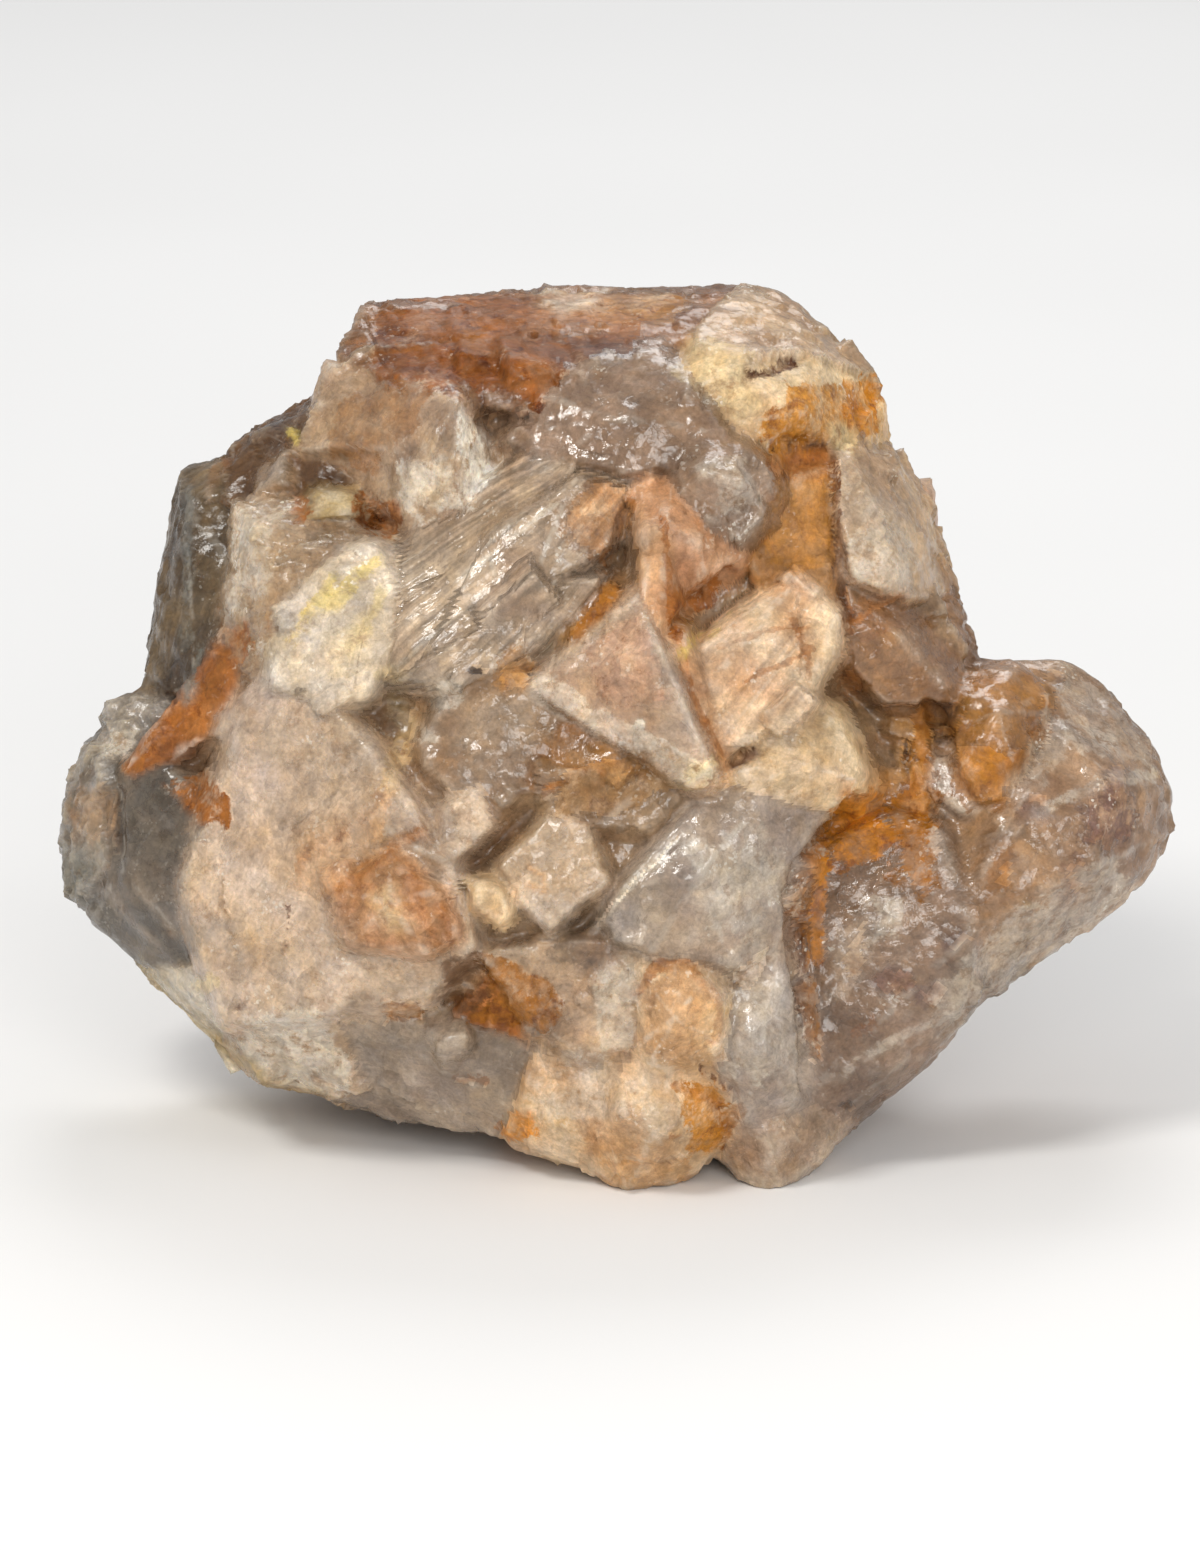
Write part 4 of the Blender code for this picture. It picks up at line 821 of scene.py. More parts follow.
class Grain:
    """Seeded noise on arrays of points, from hashed lattice cells."""

    @staticmethod
    def chance(cells: np.ndarray, seed: int) -> np.ndarray:
        """Gives every whole cell its own value from 0 to 1.

        Args:
            cells: whole numbers, (..., 3).
            seed: picks the set of values.

        Returns:
            One value a cell.
        """
        key = cells.astype(np.int64) * np.array((73856093, 19349663, 83492791)) + seed * 374761393
        mixed = (key[..., 0] ^ key[..., 1] ^ key[..., 2]) & 0xFFFFFFFF
        mixed = ((mixed ^ (mixed >> 15)) * 2246822519) & 0xFFFFFFFF
        mixed = ((mixed ^ (mixed >> 13)) * 3266489917) & 0xFFFFFFFF
        return ((mixed ^ (mixed >> 16)) & 0xFFFFFF) / float(0xFFFFFF)

    @classmethod
    def smooth(cls, points: np.ndarray, size: float, seed: int) -> np.ndarray:
        """Blends the eight corner values of each point's cell by 3t² - 2t³ along each axis.

        Args:
            points: places, (n, 3).
            size: width of a cell.
            seed: picks the set of values.

        Returns:
            Values from -1 to 1.
        """
        place = points / size
        cell = np.floor(place).astype(np.int64)
        t = place - cell
        t = t * t * (3.0 - 2.0 * t)
        total = np.zeros(len(points))
        for corner in np.ndindex(2, 2, 2):
            step = np.array(corner)
            weight = np.where(step, t, 1.0 - t).prod(axis=1)
            total += weight * cls.chance(cell + step, seed)
        return total * 2.0 - 1.0

    @classmethod
    def fractal(cls, points: np.ndarray, size: float, seed: int, octaves: int = 3) -> np.ndarray:
        """Adds octaves of smooth noise, each half as wide and half as strong as the one before.

        Args:
            points: places, (n, 3).
            size: width of the widest cells.
            seed: picks the set of values.
            octaves: how many are added.

        Returns:
            Values of about -1 to 1.
        """
        total = np.zeros(len(points))
        for octave in range(octaves):
            total += cls.smooth(points + 17.3 * octave, size / 2 ** octave, seed + octave) / 2 ** octave
        return total / (2.0 - 0.5 ** (octaves - 1))

    @classmethod
    def shards(cls, points: np.ndarray, size: np.ndarray, seed: int) -> tuple[np.ndarray, np.ndarray]:
        """Breaks space into cells round jittered centres, each with its own tilted plane.

        The height is the dot product of the way from the nearest centre with that cell's random tilt, which
        makes flat facets that meet in sharp edges. The gap is how much farther the second centre is.

        Args:
            points: places, (n, 3).
            size: width of a cell at each point, or one width.
            seed: picks the set of cells.

        Returns:
            Heights of about -0.5 to 0.5, and gaps from 0 on the edges of a cell.
        """
        place = points / np.asarray(size).reshape(-1, 1)
        cell = np.floor(place).astype(np.int64)
        best = np.full(len(points), np.inf)
        second = best.copy()
        height = np.zeros(len(points))
        for corner in np.ndindex(3, 3, 3):
            near = cell + np.array(corner) - 1
            centre = near + np.stack([cls.chance(near, seed + axis) for axis in range(3)], axis=1)
            way = place - centre
            distance = np.sqrt((way ** 2).sum(axis=1))
            tilt = np.stack([cls.chance(near, seed + 5 + axis) for axis in range(3)], axis=1) - 0.5
            closer = distance < best
            second = np.where(closer, best, np.minimum(second, distance))
            height = np.where(closer, (way * tilt).sum(axis=1) * 1.6, height)
            best = np.where(closer, distance, best)
        return height, second - best


def ramp(values: np.ndarray, low: float, high: float) -> np.ndarray:
    """Rises from 0 at low to 1 at high along 3t² - 2t³."""
    t = np.clip((values - low) / (high - low), 0.0, 1.0)
    return t * t * (3.0 - 2.0 * t)


@dataclass(frozen=True)
class Stance:
    """Turns the eye's frame, in millimetres, into the standing stone's place, in metres."""

    look_down: float = math.radians(15.0)
    worn_away: float = 2.2
    centre_x: float = 1.05
    centre_y: float = 18.08

    def ground(self) -> tuple[np.ndarray, float]:
        """The ground as a plane in the eye's frame: its downward normal and the offset it keeps."""
        return np.array((0.0, -math.cos(self.look_down), -math.sin(self.look_down))), -self.worn_away

    def stand(self, points: np.ndarray) -> np.ndarray:
        """Turns places by look_down about the u axis and sets the worn underside on z = 0.

        Args:
            points: places as (u, v, w) in millimetres, (n, 3).

        Returns:
            Places as (x, y, z) in metres, (n, 3).
        """
        u, v, w = points.T
        y = v * math.sin(self.look_down) - w * math.cos(self.look_down)
        z = v * math.cos(self.look_down) + w * math.sin(self.look_down)
        return np.stack((u - self.centre_x, y - self.centre_y, z - self.worn_away), axis=1) * MM

    def place(self, u: float, v: float, w: float) -> Vector:
        """One place in metres."""
        return Vector(self.stand(np.array([(u, v, w)], dtype=float))[0])


@dataclass
class CrystalHabit:
    """All the crystals of the stone, and the planes that bound each."""

    uneven_root: float = 2.0
    rear_seed: int = 7
    rear_rings: tuple = ((0, 1), (14, 6), (25, 11))
    rear_centre: tuple = (-2, 40, -31)
    rear_curve: float = 0.014
    terrace_seed: int = 5
    terrace_count: int = 9
    side_slope: float = 2.6
    crumb_seed: int = 11
    crumb_count: int = 120
    crystals: list[Crystal] = field(default_factory=list)

    def block(self, name: str, centre: Vector, half: tuple, angles: tuple, root: float,
              taper: float, finish: Look) -> Crystal:
        """A crystal with eight bared corners: a box of the given half sizes, turned about its centre.

        Args:
            name: what it is called.
            centre: middle of the box.
            half: half sizes along its own axes.
            angles: turn about u, v and w.
            root: depth of its root.
            taper: share of the outline that the root keeps.
            finish: how it looks.

        Returns:
            The crystal.
        """
        turn = Euler(angles).to_matrix()
        signs = [(i, j, k) for i in (-1, 1) for j in (-1, 1) for k in (-1, 1)]
        corners = [Vector(centre) + turn @ Vector((half[0] * i, half[1] * j, half[2] * k)) for i, j, k in signs]
        return Crystal(name, tuple(tuple(corner) for corner in corners), root, taper, finish)

    def rear(self) -> list[Crystal]:
        """Blocky crystals that cover the rear in three rings, bigger in the middle."""
        chance = random.Random(self.rear_seed)
        looks = (Look.GREY_TAN, Look.SMOKY, Look.PALE, Look.MAUVE_BROWN, Look.PEACH, Look.MILKY, Look.OCHRE)
        grown = []
        for ring, (reach, count) in enumerate(self.rear_rings):
            for step in range(count):
                angle = 2 * math.pi * (step + 0.5 * ring + chance.uniform(-0.2, 0.2)) / count
                away = (reach * math.cos(angle), reach * math.sin(angle), self.rear_curve * reach ** 2)
                size = chance.uniform(7.5, 11.5) - 1.6 * ring
                half = (size, size * chance.uniform(0.6, 0.9), size * chance.uniform(0.5, 0.8))
                angles = tuple(chance.uniform(-0.6, 0.6) for axis in range(3))
                grown.append(self.block(f"rear_{ring}_{step}", Vector(self.rear_centre) + Vector(away), half,
                                        angles, -8, 0.75, looks[(2 * ring + 3 * step) % len(looks)]))
        return grown

    def terraces(self) -> list[Crystal]:
        """Low steps that break up the top, from front to rear."""
        chance = random.Random(self.terrace_seed)
        grown = []
        for step in range(self.terrace_count):
            share = step / (self.terrace_count - 1)
            centre = Vector((chance.uniform(-13, 3), 67.6 + 5.6 * share, 5 - 15 * share))
            half = (chance.uniform(3, 6.5), chance.uniform(1.0, 1.6), chance.uniform(1.8, 3.2))
            angles = (chance.uniform(0.2, 0.5), chance.uniform(-0.35, 0.35), chance.uniform(-0.12, 0.16))
            grown.append(self.block(f"terrace_{step}", centre, half, angles, 1.5 - 18 * share, 0.9,
                                    Look.RUST_STREAKED))
        return grown

    def crumbs(self, places: np.ndarray, faces: np.ndarray, owners: np.ndarray) -> list[Crystal]:
        """Small plates and splinters, half sunk in the faces.

        Args:
            places: points of the skin, (n, 3).
            faces: their outward normals, (n, 3).
            owners: the crystal at each.

        Returns:
            The plates, each with the finish of the crystal that it lies on.
        """
        chance = random.Random(self.crumb_seed)
        grown = []
        for step in range(self.crumb_count):
            pick = chance.randrange(len(places))
            wide = chance.uniform(1.2, 3.6)
            half = (wide, wide * chance.uniform(0.35, 0.9), wide * chance.uniform(0.25, 0.45))
            lie = Vector(faces[pick]).to_track_quat("Z", "X").to_matrix()
            tip = Euler((chance.gauss(0, 0.16), chance.gauss(0, 0.16), chance.uniform(0, math.tau))).to_matrix()
            sunk = chance.uniform(0.55, 0.92) * half[2]
            signs = [(i, j, k) for i in (-1, 1) for j in (-1, 1) for k in (-1, 1)]
            corners = [Vector(places[pick]) + lie @ (tip @ Vector((half[0] * i, half[1] * j, half[2] * k))
                       - Vector((0, 0, sunk))) for i, j, k in signs]
            finish = self.crystals[owners[pick]].finish
            grown.append(Crystal(f"crumb_{step}", tuple(tuple(corner) for corner in corners), None, 1.0, finish))
        return grown

    def grow(self) -> None:
        """Gathers the crystals in the order in which they are joined."""
        self.crystals = [HEART, BREAST, *CROWN, *LEFT, *FACE, *FOOT, *RIGHT, *self.rear(), *self.terraces()]

    def planes(self, crystal: Crystal) -> tuple[np.ndarray, np.ndarray]:
        """Wraps a crystal's bared corners and root in their convex hull.

        Args:
            crystal: the crystal.

        Returns:
            Outward normals, (k, 3), and offsets, (k,): a place x is inside where normals @ x <= offsets.
        """
        middle = sum((Vector(c) for c in crystal.corners), Vector()) / len(crystal.corners)
        shape = bmesh.new()
        for u, v, w in crystal.corners:
            shape.verts.new((u, v, w))
            if crystal.root is None:
                continue
            depth = crystal.root + self.uneven_root * math.sin(0.9 * u + 1.7 * v)
            shape.verts.new((*(middle + (Vector((u, v, 0)) - middle) * crystal.taper).xy, depth))
            if crystal.shoulder:
                aside = Vector((u - middle.x, v - middle.y, 0.0)).normalized() * crystal.shoulder
                shape.verts.new((u + aside.x, v + aside.y, w - self.side_slope * crystal.shoulder))
        bmesh.ops.convex_hull(shape, input=shape.verts)
        bmesh.ops.recalc_face_normals(shape, faces=shape.faces)
        shape.normal_update()
        flats = [face for face in shape.faces if face.calc_area() > 0.01]
        normals = np.array([tuple(face.normal) for face in flats])
        offsets = np.array([face.normal.dot(face.verts[0].co) for face in flats])
        shape.free()
        return normals, offsets


@dataclass
class Rays:
    """Rays that leave the plate inside the stone, laid out on grids that join into one closed sheet.

    Two square grids cover the plate's front and rear, and a band of rows fans round its border. A square
    grid point (a, b) is sent to a disc: the larger of |a| and |b| is the share of the way to the border,
    and the smaller over the larger, times 45 degrees, is the turn from the nearest axis.
    """

    front: int = 184
    rows_front: int = 46
    rows_rear: int = 18
    border: float = 0.82
    start: np.ndarray = field(default=None, repr=False)
    way: np.ndarray = field(default=None, repr=False)
    triangles: np.ndarray = field(default=None, repr=False)
    quads: np.ndarray = field(default=None, repr=False)

    @staticmethod
    def disc(count: int) -> tuple[np.ndarray, np.ndarray]:
        """Sends a square grid of (count + 1)² points to the disc.

        Args:
            count: cells along a side.

        Returns:
            Reach from 0 to 1, and turn in radians.
        """
        line = np.linspace(-1.0, 1.0, count + 1)
        a, b = (axis.ravel() for axis in np.meshgrid(line, line, indexing="xy"))
        wide = np.abs(a) >= np.abs(b)
        reach = np.where(wide, a, b)
        safe = np.where(reach == 0.0, 1.0, reach)
        turn = np.where(wide, math.pi / 4 * b / safe, math.pi / 2 - math.pi / 4 * a / safe)
        return np.abs(reach), turn + np.where(reach < 0.0, math.pi, 0.0)

    @staticmethod
    def rim(count: int) -> np.ndarray:
        """Indices of a square grid's border points, once round from the lower right corner."""
        side = np.arange(count)
        right = side * (count + 1) + count
        top = count * (count + 1) + count - side
        left = (count - side) * (count + 1)
        return np.concatenate((right, top, left, side))

    @staticmethod
    def cells(count: int) -> np.ndarray:
        """Corner indices of a square grid's cells, counter-clockwise."""
        column, row = (axis.ravel() for axis in np.meshgrid(np.arange(count), np.arange(count)))
        first = row * (count + 1) + column
        return np.stack((first, first + 1, first + count + 2, first + count + 1), axis=1)

    def outline(self, reach: np.ndarray, turn: np.ndarray) -> np.ndarray:
        """Reads the plate's border radius at any turn from its even samples."""
        lap = np.linspace(0.0, 2 * math.pi, len(reach) + 1)
        return np.interp(np.mod(turn, 2 * math.pi), lap, np.append(reach, reach[0]))

    def lay(self, edge: np.ndarray) -> None:
        """Lays the grids out and joins them.

        On the plate the way is straight to the front or the rear. On the band it turns through a half
        circle: (cos t · outward, sin t) with t from 90 to -90 degrees, closest together at the front.

        Args:
            edge: the plate's border radius at even turns.
        """
        around = 4 * self.front
        rear = self.front // 2
        centre = np.array(PLATE_CENTRE)
        grids = []
        for count, side in ((self.front, 1.0), (rear, -1.0)):
            reach, turn = self.disc(count)
            radius = reach * self.outline(edge, turn)
            flat = centre + radius[:, None] * np.stack((np.cos(turn), np.sin(turn)), axis=1)
            start = np.column_stack((flat, np.full(len(flat), PLATE_DEPTH)))
            grids.append((start, np.tile((0.0, 0.0, side), (len(flat), 1))))
        rim_front = self.rim(self.front)
        turn = self.disc(self.front)[1][rim_front]
        outward = np.column_stack((np.cos(turn), np.sin(turn), np.zeros(around)))
        share = np.concatenate((np.linspace(0, 1, self.rows_front + 1)[1:],
                                1 + np.linspace(0, 1, self.rows_rear + 1)[1:-1]))
        lean = math.pi / 2 * (1.0 - share)[:, None, None]
        fan_way = np.cos(lean) * outward + np.sin(lean) * np.array((0.0, 0.0, 1.0))
        fan_start = np.broadcast_to(grids[0][0][rim_front], fan_way.shape)
        self.start = np.concatenate((grids[0][0], fan_start.reshape(-1, 3), grids[1][0]))
        self.way = np.concatenate((grids[0][1], fan_way.reshape(-1, 3), grids[1][1]))
        first_fan = len(grids[0][0])
        first_rear = first_fan + len(share) * around
        loops = np.vstack((rim_front, first_fan + np.arange(len(share) * around).reshape(-1, around)))
        ahead = np.roll(loops, -1, axis=1)
        band = np.stack((loops[:-1], loops[1:], ahead[1:], ahead[:-1]), axis=-1).reshape(-1, 4)
        rear_cells = first_rear + self.cells(rear)[:, ::-1]
        self.quads = np.concatenate((self.cells(self.front), band, rear_cells))
        last = loops[-1].reshape(-1, 2)
        after = np.roll(last[:, 0], -1)
        rear_rim = first_rear + self.rim(rear)
        rear_after = np.roll(rear_rim, -1)
        self.triangles = np.concatenate((
            np.stack((last[:, 0], rear_rim, last[:, 1]), axis=1),
            np.stack((last[:, 1], rear_rim, rear_after), axis=1),
            np.stack((last[:, 1], rear_after, after), axis=1),
        ))


@dataclass
class Skin:
    """The stone's outer surface: where each ray leaves the crystals, then the relief of their faces."""

    stance: Stance
    habit: CrystalHabit
    rays: Rays
    round_edge: float = 0.10
    same_face: float = 0.96
    fillet: float = 0.32
    pit_free: float = 0.6
    pit_depth: float = 1.0
    warp: float = 0.45
    points: np.ndarray = field(default=None, repr=False)
    owner: np.ndarray = field(default=None, repr=False)
    crease: np.ndarray = field(default=None, repr=False)
    edge: np.ndarray = field(default=None, repr=False)
    facet: np.ndarray = field(default=None, repr=False)
    steep: np.ndarray = field(default=None, repr=False)

    def leave(self, start: np.ndarray, way: np.ndarray, normals: np.ndarray,
              offsets: np.ndarray) -> tuple[np.ndarray, np.ndarray, np.ndarray]:
        """Finds how far along each ray it leaves one crystal.

        A ray meets plane i at t = (offset - normal · start) / (normal · way). It leaves at the least t of
        the planes it runs out through, which are blended by -r · log Σ exp(-t / r) so that edges are worn
        to radius r, and it misses if it enters later than that.

        Args:
            start: where the rays begin, (n, 3).
            way: their unit directions, (n, 3).
            normals: the planes' outward normals, (k, 3).
            offsets: the planes' offsets, (k,).

        Returns:
            The distance, or minus infinity where it misses, how close the next face is, and the face, where
            planes that are nearly parallel count as one.
        """
        slope = way @ normals.T
        gap = offsets - start @ normals.T
        flat = np.abs(slope) < 1e-6
        meet = gap / np.where(flat, 1.0, slope)
        out = np.where(slope > 1e-6, meet, np.inf)
        inward = np.where(slope < -1e-6, meet, -np.inf).max(axis=1)
        plane = out.argmin(axis=1)
        least = out.min(axis=1)
        alike = normals @ normals.T > self.same_face
        others = np.where(alike[plane], np.inf, out).min(axis=1)
        blend = np.exp(-np.clip((out - least[:, None]) / self.round_edge, 0.0, 60.0)).sum(axis=1)
        missed = (inward > least) | (flat & (gap < 0.0)).any(axis=1) | (least < 0.0)
        distance = np.where(missed, -np.inf, least - self.round_edge * np.log(blend))
        return distance, np.minimum(others - least, 9.0), alike.argmax(axis=1)[plane]

    def cast(self, start: np.ndarray, way: np.ndarray) -> tuple[np.ndarray, ...]:
        """Follows the rays to where each leaves the last of all the crystals.

        Args:
            start: where the rays begin, (n, 3).
            way: their unit directions, (n, 3).

        Returns:
            Distance, index of the crystal, distance left to the runner-up, closeness of the next face of
            the same crystal, and index of the face.
        """
        best = np.zeros(len(start))
        second = np.zeros(len(start))
        owner = np.zeros(len(start), dtype=int)
        edge = np.full(len(start), 9.0)
        facet = np.zeros(len(start), dtype=int)
        for index, crystal in enumerate(self.habit.crystals):
            normals, offsets = self.habit.planes(crystal)
            corners = np.array(crystal.corners)
            root = corners[:, 2].mean() if crystal.root is None else crystal.root
            middle = np.append(corners[:, :2].mean(axis=0), (corners[:, 2].mean() + root) / 2)
            reach = np.sqrt(((corners - middle) ** 2).sum(axis=1)).max() + 4.0
            to_middle = middle - start
            along = (to_middle * way).sum(axis=1)
            aside = (to_middle ** 2).sum(axis=1) - along ** 2
            near = np.flatnonzero((aside < reach ** 2) & (along > -reach))
            if not len(near):
                continue
            distance, next_face, plane = self.leave(start[near], way[near], normals, offsets)
            wins = distance > best[near]
            second[near] = np.where(wins, best[near], np.maximum(second[near], distance))
            best[near] = np.where(wins, distance, best[near])
            owner[near[wins]] = index
            edge[near[wins]] = next_face[wins]
            facet[near[wins]] = plane[wins]
        gap = best - second
        return best + self.fillet * np.exp(-gap / self.fillet), owner, gap, edge, facet

    def border(self, samples: int = 720, share: float = 0.82, window: int = 31) -> np.ndarray:
        """Sizes the plate: a share of the stone's own reach at each turn, evened out over a window.

        Args:
            samples: number of even turns.
            share: how far out towards the stone's edge the plate goes.
            window: number of samples that are evened out together.

        Returns:
            Border radius at each turn.
        """
        turn = np.linspace(0.0, 2 * math.pi, samples, endpoint=False)
        way = np.column_stack((np.cos(turn), np.sin(turn), np.zeros(samples)))
        start = np.tile((*PLATE_CENTRE, PLATE_DEPTH), (samples, 1)).astype(float)
        reach = self.cast(start, way)[0]
        shifts = np.arange(window) - window // 2
        least = np.min([np.roll(reach, shift) for shift in shifts], axis=0)
        return share * np.mean([np.roll(least, shift) for shift in shifts], axis=0)

    def shape(self) -> None:
        """Casts the rays, sinks small crumbs in the faces, bends the rays a little so that no face is a perfect plane,
        makes pits shallower and evens out steep sides.
        """
        self.rays.lay(self.border(share=self.rays.border))
        if self.habit.crumb_count:
            reach = self.cast(self.rays.start, self.rays.way)
            bare = self.rays.start + reach[0][:, None] * self.rays.way
            near = np.flatnonzero((reach[2] < 2.2) & (reach[2] > 0.15) & (bare[:, 1] < 70.0))
            self.habit.crystals += self.habit.crumbs(bare[near], self.normals(bare)[near], reach[1][near])
        probe = self.rays.start + 14.0 * self.rays.way
        bend = np.stack([Grain.fractal(probe, 7.0, 11 + axis, 3) for axis in range(3)], axis=1)
        start = self.rays.start + self.warp * bend
        distance, self.owner, self.crease, self.edge, self.facet = self.cast(start, self.rays.way)
        distance = self.fill_pits(distance)
        self.points = self.to_ground(self.rays.start + distance[:, None] * self.rays.way)
        self.points = self.straighten(self.points)

    def around(self, values: np.ndarray) -> np.ndarray:
        """Averages the values of each point's neighbours along the edges of the sheet."""
        quads, triangles = self.rays.quads, self.rays.triangles
        pairs = np.concatenate([np.stack((faces, np.roll(faces, -1, axis=1)), axis=-1).reshape(-1, 2)
                                for faces in (quads, triangles)])
        count = np.bincount(pairs[:, 0], minlength=len(values))
        table = values.reshape(len(values), -1)
        sums = [np.bincount(pairs[:, 0], table[pairs[:, 1], column], len(values))
                for column in range(table.shape[1])]
        return (np.stack(sums, axis=1) / count[:, None]).reshape(values.shape)

    def fill_pits(self, distance: np.ndarray) -> np.ndarray:
        """Makes pits shallower: a drop d below the evened-out reach E becomes a + L · tanh((d - a) / L)."""
        wide = distance
        for step in range(24):
            wide = self.around(wide)
        over = np.maximum(wide - distance - self.pit_free, 0.0)
        return distance + over - self.pit_depth * np.tanh(over / self.pit_depth)

    def straighten(self, points: np.ndarray) -> np.ndarray:
        """Evens out steep sides, where rays that run along a side leave it ragged.

        Each round moves a point towards the mean of its neighbours, by a share that rises with the
        steepness, 1 - |normal · way|.

        Args:
            points: places, (n, 3).

        Returns:
            The places, evened out.
        """
        for step in range(6):
            steep = 1.0 - np.abs((self.normals(points) * self.rays.way).sum(axis=1))
            share = 0.8 * ramp(self.around(steep), 0.35, 0.8)
            points = points + share[:, None] * (self.around(points) - points)
            self.steep = share
        return points

    def to_ground(self, points: np.ndarray) -> np.ndarray:
        """Moves any place below the ground straight up onto it."""
        normal, offset = self.stance.ground()
        below = points @ normal - offset
        return points - np.maximum(below, 0.0)[:, None] * normal

    def triangles(self) -> np.ndarray:
        """All faces as triangles, for normals and neighbours."""
        quads = self.rays.quads
        return np.concatenate((quads[:, (0, 1, 2)], quads[:, (0, 2, 3)], self.rays.triangles))

    def normals(self, points: np.ndarray) -> np.ndarray:
        """Sums each point's face normals, weighted by area, and makes them unit vectors."""
        faces = self.triangles()
        a, b, c = (points[faces[:, corner]] for corner in range(3))
        flat = np.cross(b - a, c - a)
        total = np.stack([
            sum(np.bincount(faces[:, corner], flat[:, axis], len(points)) for corner in range(3))
            for axis in range(3)
        ], axis=1)
        return total / np.maximum(np.linalg.norm(total, axis=1, keepdims=True), 1e-9)

    def by_crystal(self, name: str) -> np.ndarray:
        """Gives every point the named number of its crystal's finish."""
        table = np.array([getattr(crystal.finish.value, name) for crystal in self.habit.crystals], dtype=float)
        return table[self.owner]

    def ridges(self, points: np.ndarray) -> np.ndarray:
        """Growth ridges: a sharp-crested wave across each crystal's ridge direction.

        With s the distance across, bent by noise, the height is 1 - |2 · frac(s / step) - 1| to the power
        0.7, faded in and out along the ridge by slow noise.
        """
        angle = np.radians(self.by_crystal("ridge_angle"))
        across = points[:, 1] * np.cos(angle) - points[:, 0] * np.sin(angle)
        phase = (across + 0.25 * Grain.fractal(points, 6.0, 31, 2)) / self.by_crystal("ridge_step")
        crest = 1.0 - np.abs(2.0 * (phase - np.floor(phase)) - 1.0)
        return crest ** 0.7 * (0.55 + 0.45 * Grain.smooth(points, 5.0, 37))

    def relief(self) -> None:
        """Moves the points along their normals by shards, ridges, grain, chipped edges and fine cracks."""
        points, normal = self.points, self.normals(self.points)
        size = self.by_crystal("chip_size")
        bent = points + 0.35 * np.stack([Grain.smooth(points, 1.6, 71 + axis) for axis in range(3)], axis=1)
        wide = Grain.shards(bent, 2.2 * size, 61)[0]
        coarse = Grain.shards(bent, size, 101)[0]
        fine = Grain.shards(bent, 0.42 * size, 151)[0]
        height = self.by_crystal("chips") * (1.5 * wide + 1.2 * coarse + 0.6 * fine)
        height += self.by_crystal("ridges") * self.ridges(points)
        height += self.by_crystal("grain") * Grain.fractal(points, 1.1, 211, 2)
        broken = ramp(Grain.fractal(points, 2.2, 241, 2), -0.1, 0.5)
        height -= 0.26 * broken * ramp(self.edge, 0.9, 0.0)
        open_crack = ramp(Grain.smooth(points, 4.0, 251), -0.1, 0.5)
        height -= 0.16 * open_crack * ramp(self.crease, 0.6, 0.0)
        for crack in CRACKS:
            away = crack.away(self.picture(points)) + 0.18 * Grain.smooth(points, 0.9, 257)
            height -= 0.7 * crack.depth * ramp(away, 0.5 * crack.width + 0.6, -0.1) * ramp(points[:, 2], -8.0, -4.0)
        self.points = self.to_ground(points + height[:, None] * normal)

    @staticmethod
    def picture(points: np.ndarray) -> np.ndarray:
        """Where places appear to the eye: (u, v) spread from the aim by distance / (distance - w)."""
        spread = EYE_DISTANCE / (EYE_DISTANCE - points[:, 2:])
        aim = np.array(EYE_AIM)
        return aim + (points[:, :2] - aim) * spread

    def hollow(self) -> np.ndarray:
        """How deep each point lies below its wider surroundings, along its normal, in millimetres."""
        normal = self.normals(self.points)
        wide = self.points
        for step in range(10):
            wide = self.around(wide)
        return ((wide - self.points) * normal).sum(axis=1)

    def face_normals(self) -> np.ndarray:
        """Gives every point the mean normal of the face that it lies on."""
        face = np.unique(64 * self.owner + self.facet, return_inverse=True)[1]
        normal = self.normals(self.points)
        total = np.stack([np.bincount(face, normal[:, axis]) for axis in range(3)], axis=1)
        return (total / np.maximum(np.linalg.norm(total, axis=1, keepdims=True), 1e-9))[face]

    def stream(self) -> np.ndarray:
        """Places in each face's own frame, in metres: along its lines, across them, and away from it.

        The lines run with the crystal's ridges, or in a direction of the face's own, laid into the face.
        """
        own = np.stack((self.owner, self.facet, np.zeros_like(self.owner)), axis=1)
        ridged = self.by_crystal("ridges") > 0.0
        angle = np.where(ridged, np.radians(self.by_crystal("ridge_angle")), math.pi * Grain.chance(own, 381))
        along = np.stack((np.cos(angle), np.sin(angle), 0.2 * np.ones(len(angle))), axis=1)
        normal = self.face_normals()
        along -= (along * normal).sum(axis=1, keepdims=True) * normal
        along /= np.maximum(np.linalg.norm(along, axis=1, keepdims=True), 1e-6)
        frame = (along, np.cross(normal, along), normal)
        laid = np.stack([(self.points * axis).sum(axis=1) for axis in frame], axis=1)
        return MM * (laid + 60.0 * Grain.chance(own, 382)[:, None])

    def mesh(self, name: str) -> bpy.types.Mesh:
        """Puts the sheet into a mesh with smooth faces.

        Args:
            name: the mesh's name.

        Returns:
            The mesh, with its points in metres.
        """
        corners = np.concatenate((self.rays.quads.ravel(), self.rays.triangles.ravel()))
        sizes = np.concatenate((np.full(len(self.rays.quads), 4), np.full(len(self.rays.triangles), 3)))
        made = bpy.data.meshes.new(name)
        made.vertices.add(len(self.points))
        made.loops.add(len(corners))
        made.polygons.add(len(sizes))
        made.vertices.foreach_set("co", self.stance.stand(self.points).astype(np.float32).ravel())
        made.loops.foreach_set("vertex_index", corners.astype(np.int32))
        made.polygons.foreach_set("loop_start", (np.cumsum(sizes) - sizes).astype(np.int32))
        made.polygons.foreach_set("use_smooth", np.ones(len(sizes), dtype=bool))
        made.update(calc_edges=True)
        made.validate()
        return made


